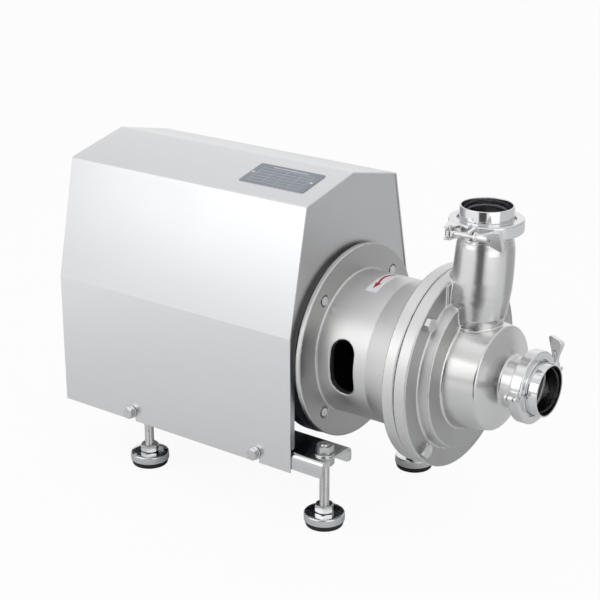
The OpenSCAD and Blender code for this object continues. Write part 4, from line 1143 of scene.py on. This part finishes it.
def casing_field(p):
    """Outside of the casing, then its hollow and bores."""
    x, y, z = p.T
    radius = np.hypot(y, z)
    body = outline_distance(np.stack([x, radius], 1), CASING_LOOP)
    middle = np.interp(z, PIPE_HEIGHTS, PIPE_MIDDLES)
    wide = np.interp(z, PIPE_HEIGHTS, PIPE_RADII)
    pipe = kept_between(np.hypot(x - middle, y) - wide, z, PIPE_ENDS)
    pad = np.maximum(slab(p, PAD_LOW, PAD_HIGH, 0.5), radius - PAD_R)
    neck = outline_distance(np.stack([z, np.hypot(x - OUTLET_X, y)], 1), NECK_LOOP)
    outside = fused(fused(body, pad, 0.8), fused(pipe, neck, 1.5), 2.6)
    web_middle = np.interp(z, PIPE_HEIGHTS, WEB_MIDDLES)
    web = np.hypot(x - web_middle, y) - wide + np.interp(z, *WEB_SHRINK)
    web = kept_between(web, z, WEB_ENDS)
    outside = fused(outside, fused(fused(pad, web, 3.0), pipe, 6.0), 1.6)
    hollows = [
        barrel(p, (0, 0), 0, 51.5, 100.0, CHAMBER_X),
        barrel(p, (0, 0), 0, 46.5, 130.0, 164.5, 3.0),
        barrel(p, (0, 0), 0, PORT_BORE, 150.0, 210.0),
        barrel(p, (142.2, 0), 2, 21.25, 62.0, 122.0),
        barrel(p, (139.0, 0), 2, 17.0, 40.0, 64.0),
        barrel(p, (OUTLET_X, 0), 2, PORT_BORE, 117.0, 160.0),
    ]
    return carved(outside, np.min(hollows, axis=0), 0.4)


casing_net = cast_net(casing_field, (108, -102, -102), (205, 102, 151), 1.35)
add_casting("pump_casing", casing_net, *ON_BASE, "casing", ["front_casing"])
print("casing faces:", len(casing_net[0][1]))

# %% [markdown]
# ## Ports, gaskets and clamps
# Each port ends in a polished ferrule, a gasket and a two-part clamp. The clamp is cast: a ring with
# a groove, a hinge on one side, and on the other a swing bolt that drops into a slotted ear and is
# pulled tight by a fan-shaped nut. They are drawn once about Z and then set on the outlet and the inlet.

# %% Port places
LYING = rotation("X", -2.0) @ rotation("Y", -90.0) @ rotation("X", 180.0)
PORTS = {
    "outlet": (np.array((OUTLET_X, 0.0, OUTLET_JOINT)), rotation("Z", 5.0)),
    "inlet": (np.array((INLET_JOINT, 0.0, 0.0)), LYING),
}


def at_port(port, shape, normals=None):
    """A shape drawn about Z, and its normals if it has its own, set on a port."""
    middle, turn = PORTS[port]
    ready = (shape[0] @ turn.T + middle, shape[1])
    return ready if normals is None else (ready, normals @ turn.T)


FERRULE = soft_corners(
    [
        (0.8, PORT_BORE, 0.2),
        (0.8, LIP_R, 0.4),
        (2.6, LIP_R, 0.5),
        (4.7, LIP_ROOT, 0.9),
        (5.9, PORT_R, 1.2),
        (18.0, PORT_R, 0.5),
        (18.0, PORT_BORE, 0.5),
    ]
)
GASKET = soft_corners([(-0.8, 24.15, 0.2), (-0.8, 31.5, 0.3), (0.8, 31.5, 0.3), (0.8, 24.15, 0.2)], steps=2)
# body and slot
POLISHED = ("base", "polished_steel")
for port in PORTS:
    tube = at_port(port, lathe(FERRULE, 128))
    add_piece(port + "_tube_end", tube, *POLISHED, port + "_tube", [port + "_ferrule"], sharp=30)
    gasket = at_port(port, lathe(GASKET, 96))
    add_piece(port + "_joint_ring", gasket, "base", "white_seal", "white_seal", [port + "_gasket"])
print("ports:", list(PORTS))

# %% Clamp halves
CLAMP_R, CLAMP_HALF_W, SPLIT = 35.2, 6.3, 1.5
HINGE_Y, HINGE_R, BOLT_Y, PIVOT_X, EAR_X = 39.4, 3.8, -42.5, -16.0, 7.6
CLAMP_SECTION = soft_corners(
    [
        (-CLAMP_HALF_W, 27.6, 0.8),
        (-CLAMP_HALF_W, CLAMP_R, 2.0),
        (CLAMP_HALF_W, CLAMP_R, 2.0),
        (CLAMP_HALF_W, 27.6, 0.8),
        (4.4, 27.6, 0.3),
        (2.65, 32.4, 0.3),
        (-2.65, 32.4, 0.3),
        (-4.4, 27.6, 0.3),
    ]
)
PIVOT_PLATE = soft_corners([(-27, -22, 0), (-20, -47.4, 1.2), (-14.5, -46.6, 2), (-9, -33, 0), (-9, -22, 0)])
HINGE_ROOT, KNUCKLE_EDGE, PLATE_EDGE = 31.0, 0.6, 0.5


def clamp_ring(p):
    """The grooved ring of both halves."""
    return outline_distance(np.stack([p[:, 2], np.hypot(p[:, 0], p[:, 1])], 1), CLAMP_SECTION)


def clear_of_groove(p, field):
    """Keeps lugs and ears out of the ring's hollow."""
    return carved(field, barrel(p, (0, 0), 2, 32.6, -9.0, 9.0), 0.3)


def knuckle(p, x0, x1, z0, z1):
    """A hinge eye and the lug that carries it."""
    eye = barrel(p, (0, HINGE_Y), 2, HINGE_R, z0, z1, KNUCKLE_EDGE)
    return fused(eye, slab(p, (x0, HINGE_ROOT, z0), (x1, HINGE_Y, z1), KNUCKLE_EDGE), 1.0)


def pivot_half(p):
    """The half that carries the swing bolt's pivot between two plates."""
    ring = common(clamp_ring(p), p[:, 0] + SPLIT, 0.6)
    mirror = np.column_stack([p[:, 0], p[:, 1], np.abs(p[:, 2])])
    hinge = knuckle(mirror, -HINGE_R, -SPLIT, 3.5, CLAMP_HALF_W)
    flat = outline_distance(p[:, :2], PIVOT_PLATE) + PLATE_EDGE
    thin = np.abs(mirror[:, 2] - 4.7 + 0.05 * (p[:, 1] + 34)) - 0.9 + 0.03 * np.clip(-34 - p[:, 1], 0.0, 20.0)
    lugs = np.minimum(hinge, rounded([flat, thin], PLATE_EDGE))
    return fused(ring, clear_of_groove(p, lugs), 1.4)


def ear_half(p):
    """The half with the slotted ear for the swing bolt."""
    ring = common(clamp_ring(p), SPLIT - p[:, 0], 0.6)
    hinge = knuckle(p, SPLIT, HINGE_R, -3.0, 3.0)
    ear = slab(p, (3.5, BOLT_Y - 5.5, -CLAMP_HALF_W), (EAR_X, -29, CLAMP_HALF_W), 1.0)
    slot = np.maximum(np.abs(p[:, 2]) - 2.9, p[:, 1] - (BOLT_Y + 2.9))
    ear = carved(ear, slot, 0.6)
    return fused(ring, clear_of_groove(p, np.minimum(hinge, ear)), 1.4)


CLAMP_LOW, CLAMP_HIGH = (-40, -54, -9), (40, 52, 9)
halves = {
    "pivot": cast_net(pivot_half, CLAMP_LOW, CLAMP_HIGH, 0.75),
    "ear": cast_net(ear_half, CLAMP_LOW, CLAMP_HIGH, 0.75),
}
CLAMP_NODES = {
    ("outlet", "pivot"): "outlet_clamp_rear",
    ("outlet", "ear"): "outlet_clamp_front",
    ("inlet", "pivot"): "inlet_clamp_lower",
    ("inlet", "ear"): "inlet_clamp_upper",
}
for (port, half), cad_node in CLAMP_NODES.items():
    add_casting(port + "_clamp_" + half, at_port(port, *halves[half]), *POLISHED, "cast", [cad_node])
print("clamp half faces:", {k: len(v[0][1]) for k, v in halves.items()})

# %% Clamp pins
# slot and finish
FASTENER = ("fasteners", "fastener")
pin = rod(-7.1, 7.1, 1.8, (0.5, 0.5), 32)
pins = joined([moved(pin, 0, HINGE_Y), moved(pin, PIVOT_X, BOLT_Y)])
for port in PORTS:
    add_piece(port + "_pins", at_port(port, pins), "base", *FASTENER, [port + "_clamp_pins"])
print("pins on", len(PORTS), "clamps")

# %% Swing bolts and wing nuts
NUT_SEAT, BOLT_R, BOLT_LONG = 8.4, 2.5, 15.0
EYE_R, EYE_HALF_W, EYE_BORE = 4.6, 2.8, 1.85
FAN_EDGE, FAN_HALF_W, FAN_FLARE = 0.7, 0.9, 0.07
NUT_TURNS = {"inlet": 147.0, "outlet": 24.0}
FAN = [(4.0, -1.0), (4.6, 2.6), (8.0, 4.2), (13.0, 6.4), (18.0, 8.8), (22.5, 10.8), (25.5, 11.4)]
FAN = np.array(FAN + [(27.4, 9.8), (27.9, 6.0), (27.6, -1.0)])


def bolt_field(p):
    """An eye on a shank."""
    pivot = (PIVOT_X, BOLT_Y)
    eye = barrel(p, pivot, 2, EYE_R, -EYE_HALF_W, EYE_HALF_W, 0.5)
    shank = barrel(p, (BOLT_Y, 0), 0, BOLT_R, PIVOT_X, NUT_SEAT + BOLT_LONG, 0.5)
    return carved(fused(eye, shank, 1.2), barrel(p, pivot, 2, EYE_BORE, -9.0, 9.0), 0.2)


def nut_field(turn):
    """A collar with a flared fan, turned about the bolt."""
    c, s = math.cos(math.radians(turn)), math.sin(math.radians(turn))

    def field(p):
        x = p[:, 0] - NUT_SEAT
        y = p[:, 1] - BOLT_Y
        across, up = c * y + s * p[:, 2], c * p[:, 2] - s * y
        local = np.column_stack([x, across, up])
        base = barrel(local, (0, 0), 0, 4.8, 0.0, 2.8, 0.5)
        collar = fused(base, barrel(local, (0, 0), 0, 3.75, 0.0, 14.0, 0.5), 1.0)
        flat = outline_distance(np.stack([x, np.abs(up)], 1), FAN) + FAN_EDGE
        thick = np.abs(across) - FAN_HALF_W - FAN_FLARE * np.clip(x - 14.0, 0.0, 14.0)
        nut = fused(collar, rounded([flat, thick], FAN_EDGE), 1.2)
        return carved(nut, barrel(local, (0, 0), 0, BOLT_R + 0.05, -2.0, 16.0), 0.3)

    return field


bolt_net = cast_net(bolt_field, (-23, -50, -7), (26, -36, 7), 0.5)
for port, turn in NUT_TURNS.items():
    bolt = at_port(port, *bolt_net)
    add_casting(port + "_eye_bolt", bolt, port + "_bolt", *FASTENER, [port + "_swing_bolt"])
    nut = at_port(port, *cast_net(nut_field(turn), (6, -57, -15), (38, -28, 15), 0.5))
    add_casting(port + "_winged_nut", nut, port + "_nut", "fasteners", "cast", [port + "_wing_nut"])
print("swing bolt faces:", len(bolt_net[0][1]))

# %% [markdown]
# ## Rails and levelling feet
# Two inverted channels carry the motor. Their tops are polished and mirror the dark underside. Each
# foot is a threaded stud with a hexagon, a polished cap and a rubber pad, held by a nut above and a
# nut below the rail. A thread is a real helix here, shallow because the stud is rolled and worn.

# %% Rails
RAIL_TOP, RAIL_DEPTH, RAIL_SHEET = -90.0, 17.5, 3.0
RAIL_IN, RAIL_OUT = 51.1, 100.6
RAIL_BACK, RAIL_FRONT, RAIL_ROUND = -304.0, 32.5, 5.0


def rail_shape(side):
    """An inverted channel with bent shoulders, whose lower front corners are rounded off."""
    low = RAIL_TOP - RAIL_DEPTH
    rows = RAIL_ROUND * np.array((0.0, 0.1, 0.3, 0.6, 1.0))

    def outline(inset):
        left, right, top = RAIL_IN + inset, RAIL_OUT - inset, RAIL_TOP - inset
        bend = 2 * RAIL_SHEET - inset
        corners = [(left, low + h, 0) for h in rows]
        corners += [(left, top, bend), (right, top, bend)]
        corners += [(right, low + h, 0) for h in rows[::-1]]
        return soft_corners(corners, closed=False, steps=8)

    points, faces = sheet_along_shaft(outline(0.0), outline(RAIL_SHEET), RAIL_BACK, RAIL_FRONT)
    drop = np.clip(RAIL_ROUND - (points[:, 2] - low), 0.0, RAIL_ROUND)
    cut = RAIL_ROUND - np.sqrt(RAIL_ROUND**2 - drop**2)
    points[:, 0] -= np.where(points[:, 0] > RAIL_FRONT - 0.01, cut, 0.0)
    points[:, 1] *= side
    return points, faces


HANDS = {"right": -1, "left": 1}
for hand, side in HANDS.items():
    rail = rail_shape(side)
    add_piece("channel_" + hand, rail, *POLISHED, "rail", ["rail_" + hand], sharp=30, bevel=0.4)
print("rails from", RAIL_BACK, "to", RAIL_FRONT)

# %% Nuts and washers on the rails
FOOT_Y = 81.6
FOOT_X = {"front": 21.7, "rear": -210.6}
FOOT_SPOTS = [(x, side * FOOT_Y) for x in FOOT_X.values() for side in HANDS.values()]
NUT_ACROSS, NUT_HIGH, NUT_BORE = 17.0, 8.0, 5.05
WASHER_HIGH, WASHER_R, WASHER_BORE = 2.0, 10.5, 5.4
washer_corners = [(0, WASHER_BORE, 0.2), (0, WASHER_R, 0.3)]
washer_corners += [(WASHER_HIGH, WASHER_R, 0.6), (WASHER_HIGH, WASHER_BORE, 0.3)]
washer = lathe(soft_corners(washer_corners), 64)
upper_nut = hexagon(RAIL_TOP + WASHER_HIGH, RAIL_TOP + WASHER_HIGH + NUT_HIGH, NUT_ACROSS - 1.0, NUT_BORE)
lower_nut = hexagon(RAIL_TOP - RAIL_SHEET - NUT_HIGH, RAIL_TOP - RAIL_SHEET, NUT_ACROSS, NUT_BORE)
nuts = joined([moved(turned(n, "Z", 7.0), x, y) for x, y in FOOT_SPOTS for n in (upper_nut, lower_nut)])
add_piece("rail_nuts", nuts, "base", *FASTENER, ["foot_nuts"], sharp=25, bevel=0.25)
washers = joined([moved(washer, x, y, RAIL_TOP) for x, y in FOOT_SPOTS])
add_piece("rail_washers", washers, "base", *FASTENER, ["foot_washers"])
print("nuts:", 2 * len(FOOT_SPOTS), "washers:", len(FOOT_SPOTS))

# %% Levelling feet
FLOOR_Z = -166.6
CAP_R, CAP_HIGH, RUBBER_HIGH = 20.5, 8.5, 5.5
CAP_LOW = FLOOR_Z + RUBBER_HIGH
CAP_TOP = CAP_LOW + CAP_HIGH
STUD_TOP = RAIL_TOP + WASHER_HIGH + NUT_HIGH + 1.6
cap_corners = [(CAP_LOW, 0.0, 0), (CAP_LOW, CAP_R - 0.6, 0.4), (CAP_LOW + 0.6, CAP_R, 0.4)]
cap_corners += [(CAP_TOP - 0.2, CAP_R, 1.4), (CAP_TOP, 13.0, 8.0), (CAP_TOP, 0.0, 0)]
cap = lathe(soft_corners(cap_corners), 96)
pad_corners = [(FLOOR_Z, 0.0, 0), (FLOOR_Z, CAP_R - 2.0, 1.6), (CAP_LOW, CAP_R - 0.4, 0.3), (CAP_LOW, 0.0, 0)]
pad = lathe(soft_corners(pad_corners), 96)
stud = thread(5.0, 1.5, CAP_TOP - 4.0, STUD_TOP, 0.28)
grip = turned(hexagon(CAP_TOP + 0.6, CAP_TOP + 8.6, NUT_ACROSS, 4.6), "Z", 26.0)
for end, x in FOOT_X.items():
    for hand, side in HANDS.items():
        foot, y = f"foot_{end}_{hand}", side * FOOT_Y
        screw = moved(joined([stud, grip]), x, y)
        add_piece(foot + "_screw", screw, foot, *FASTENER, [foot + "_stud"], sharp=30)
        add_piece(foot + "_cap", moved(cap, x, y), foot, "polished_steel", "polished", sharp=30)
        add_piece(foot + "_rubber", moved(pad, x, y), foot, "rubber", "rubber", [foot + "_pad"])
print("feet:", len(FOOT_SPOTS))

# %% [markdown]
# ## Screws
# The cover hangs on four hexagon bolts with washers. Four hexagon bolts close the casing, and four
# flush screws hold the lantern's rear flange. Equal screws are one piece, as in the solids.

# %% Screws
DIAGONALS = (45, 135, 225, 315)
CASING_BOLT_CIRCLE, CASING_HEAD_HIGH = 89.5, 5.5


def on_diagonals(shape, radius):
    """Copies of a shape made about Z, laid along the shaft on the four diagonals about it."""
    up = moved(along_shaft(shape), 0, 0, radius)
    return joined([turned(up, "X", a) for a in DIAGONALS])


head = hexagon(RING_X, RING_X + CASING_HEAD_HIGH, 13.0, 0.0, both_ends=False)
shank = rod(99.0, RING_X + 0.5, 4.0, (0.4, 0), 32)
bolts = on_diagonals(joined([head, shank]), CASING_BOLT_CIRCLE)
add_piece("casing_hex_bolts", bolts, "base", *FASTENER, ["casing_bolts"], sharp=25, bevel=0.25)
screws = on_diagonals(rod(-24.0, 4.6, 4.7, (0.3, 0.5), 48), SCREW_CIRCLE)
add_piece("flange_plugs", screws, "base", *FASTENER, ["flange_screws"], sharp=25)
print("screws on the diagonals:", 2 * len(DIAGONALS))

# %% Cover bolts
COVER_SIDE = HALF_WIDTH + 0.4
COVER_HEAD = COVER_SIDE + 1.6
cover_head = turned(hexagon(COVER_HEAD, COVER_HEAD + 5.3, 11.0, 0.0, both_ends=False), "Z", 17.0)
cover_washer = rod(COVER_SIDE, COVER_HEAD, 7.0, (0.3, 0.5), 48)
cover_shank = rod(94.6, COVER_SIDE + 1, 4.0, (0.5, 0), 32)
one_bolt = turned(joined([cover_head, cover_washer, cover_shank]), "X", 90)
both_sides = [one_bolt, turned(one_bolt, "Z", 180)]
side_bolts = joined([moved(bolt, x, 0, BOLT_Z) for x in BOLT_X for bolt in both_sides])
add_piece("cover_hex_bolts", side_bolts, "base", *FASTENER, ["cover_bolts"], sharp=25, bevel=0.25)
print("cover bolts:", 2 * len(BOLT_X))

# %% [markdown]
# ## Nameplate and rotation arrow
# A blank etched plate is riveted to the roof. It has ruled boxes for a maker to fill in, and no
# words. On the lantern a film with a red arrow shows which way the shaft turns. Both are thin
# meshes on their surfaces, because a printed line is cheap to draw as an outline.

# %% Nameplate
ROOF_SLOPE = math.degrees(math.atan((RIDGE - SHOULDER) / SHOULDER_HALF))
PLATE_FRONT, PLATE_LONG, PLATE_WIDE = -25.5, 79.0, 39.4
PLATE_DOWN = 16.5 / math.cos(math.radians(ROOF_SLOPE))


def on_roof(shape):
    """A flat shape, X along the ridge and Y up the slope, laid on the near side of the roof."""
    points, faces = turned(shape, "X", ROOF_SLOPE)
    return points + np.array((0.0, 0.0, RIDGE)), faces


def bar(x0, y0, x1, y1, low, high):
    """A thin flat bar."""
    return prism([(x0, y0), (x1, y0), (x1, y1), (x0, y1)], low, high)


# body and slot
ON_PLATE = ("cover", "plate")
PLATE_THICK, INK = 0.6, 0.04
plate_back, plate_low = PLATE_FRONT - PLATE_LONG, -PLATE_DOWN - PLATE_WIDE
plate_corners = [(plate_back, plate_low, 2), (PLATE_FRONT, plate_low, 2)]
plate_corners += [(PLATE_FRONT, -PLATE_DOWN, 2), (plate_back, -PLATE_DOWN, 2)]
plate_shape = on_roof(prism(soft_corners(plate_corners), 0.0, PLATE_THICK))
add_piece("blank_nameplate", plate_shape, *ON_PLATE, "plate", ["nameplate"], bevel=0.12)
left, right, first = plate_back + 8.0, PLATE_FRONT - 8.0, plate_low + 4.0
boxes = []
for k in range(6):
    y = first + k * 5.4
    boxes.append((left, y, right, y + 0.45))
for share in (0.0, 0.28, 0.5, 0.78, 1.0):
    x = left + (right - left) * share
    boxes.append((x - 0.22, first, x + 0.22, plate_low + 31.45))
boxes.append((left + 10, plate_low + 34.0, right - 10, plate_low + 35.6))
lines = [bar(*box, PLATE_THICK, PLATE_THICK + INK) for box in boxes]
add_piece("nameplate_ruling", on_roof(joined(lines)), *ON_PLATE, "ruling")
rivet = lathe(soft_corners([(0.55, 0, 0), (0.55, 2.0, 0.2), (1.1, 1.7, 0.5), (1.4, 0, 0)]), 32)
ends = (4.0, PLATE_LONG - 4.0)
rivets = [moved(rivet, PLATE_FRONT - d, plate_low + PLATE_WIDE / 2) for d in ends]
add_piece("nameplate_studs", on_roof(joined(rivets)), *ON_PLATE, "fastener", ["nameplate_rivets"])
print("nameplate ruling bars:", len(lines))

# %% Rotation arrow
LABEL_X, LABEL_WIDE, LABEL_START = (31.0, 44.0), 37.0, 23.5
FILM, INK_ON_FILM = (0.02, 0.32), (0.33, 0.40)


def on_barrel(outline, low, high):
    """A flat outline of (x, degrees from the top towards the near side), bent on the barrel."""
    x, degrees = np.asarray(outline, float).T
    angle = np.radians(degrees)
    rings = []
    for radius in (BARREL_R + low, BARREL_R + high):
        rings.append(np.column_stack([x, -radius * np.sin(angle), radius * np.cos(angle)]))
    count = len(outline)
    return np.vstack(rings), ring_faces(2, count, closed=False) + end_strips(count)


def strip(centres, half_widths, low, high):
    """A band along a row of (x, degrees) points with its own half width at each."""
    near = [(x - w, a) for (x, a), w in zip(centres, half_widths)]
    far = [(x + w, a) for (x, a), w in zip(centres, half_widths)]
    return on_barrel(near + far[::-1], low, high)


label_angles = np.linspace(LABEL_START, LABEL_START - LABEL_WIDE, 25)
label_middle = sum(LABEL_X) / 2
label = strip([(label_middle, a) for a in label_angles], [6.5] * 25, *FILM)
add_piece("turn_label", label, "base", "label", "film", ["rotation_label"], sharp=50)
arrow_middle = label_middle - 0.5
tail = np.linspace(LABEL_START - 11.5, LABEL_START - LABEL_WIDE + 2.5, 14)
bow = [-2.6 * math.sin(math.pi * k / 13) for k in range(14)]
tail_points = [(arrow_middle + b, a) for a, b in zip(tail, bow)]
arrow_tail = strip(tail_points, np.linspace(1.15, 1.5, 14), *INK_ON_FILM)
head_angles = np.linspace(LABEL_START - 4.0, LABEL_START - 11.6, 8)
arrow_head = strip([(arrow_middle, a) for a in head_angles], np.linspace(0.05, 3.2, 8), *INK_ON_FILM)
add_piece("turn_arrow", joined([arrow_tail, arrow_head]), "base", "label", "arrow", sharp=50)
print("label on the barrel from", label_angles[0], "to", label_angles[-1], "degrees")

# %% [markdown]
# ## Solids that keep their shape
# The motor under the cover and the pump's inside are already right as solids. They only need their
# finishes, which show when the cover is lifted off or through the windows.

# %% Finishes on solids
KEPT = {
    "motor": ["motor_frame", "drive_end_shield", "rear_end_shield", "terminal_box"],
    "fan_sheet": ["fan_cover"],
    "plastic": ["cable_gland", "cooling_fan"],
    "core": ["stator_core", "rotor_core"],
    "copper": ["stator_windings"],
    "fastener": ["motor_foot_bolts", "bearing_outer_rings", "bearing_inner_rings", "bearing_balls"],
    "polished": ["motor_shaft", "impeller", "impeller_nut", "back_plate"],
    "dark_steel": ["pump_shaft"],
    "white_seal": ["casing_seal"],
    "carbon": ["seal_seat", "seal_head"],
    "cover": ["cover_back_plate"],
}
for finish, names in KEPT.items():
    for name in names:
        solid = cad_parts[name].data
        solid.materials.clear()
        solid.materials.append(FINISH[finish])
print("solids with a finish:", sum(len(n) for n in KEPT.values()))
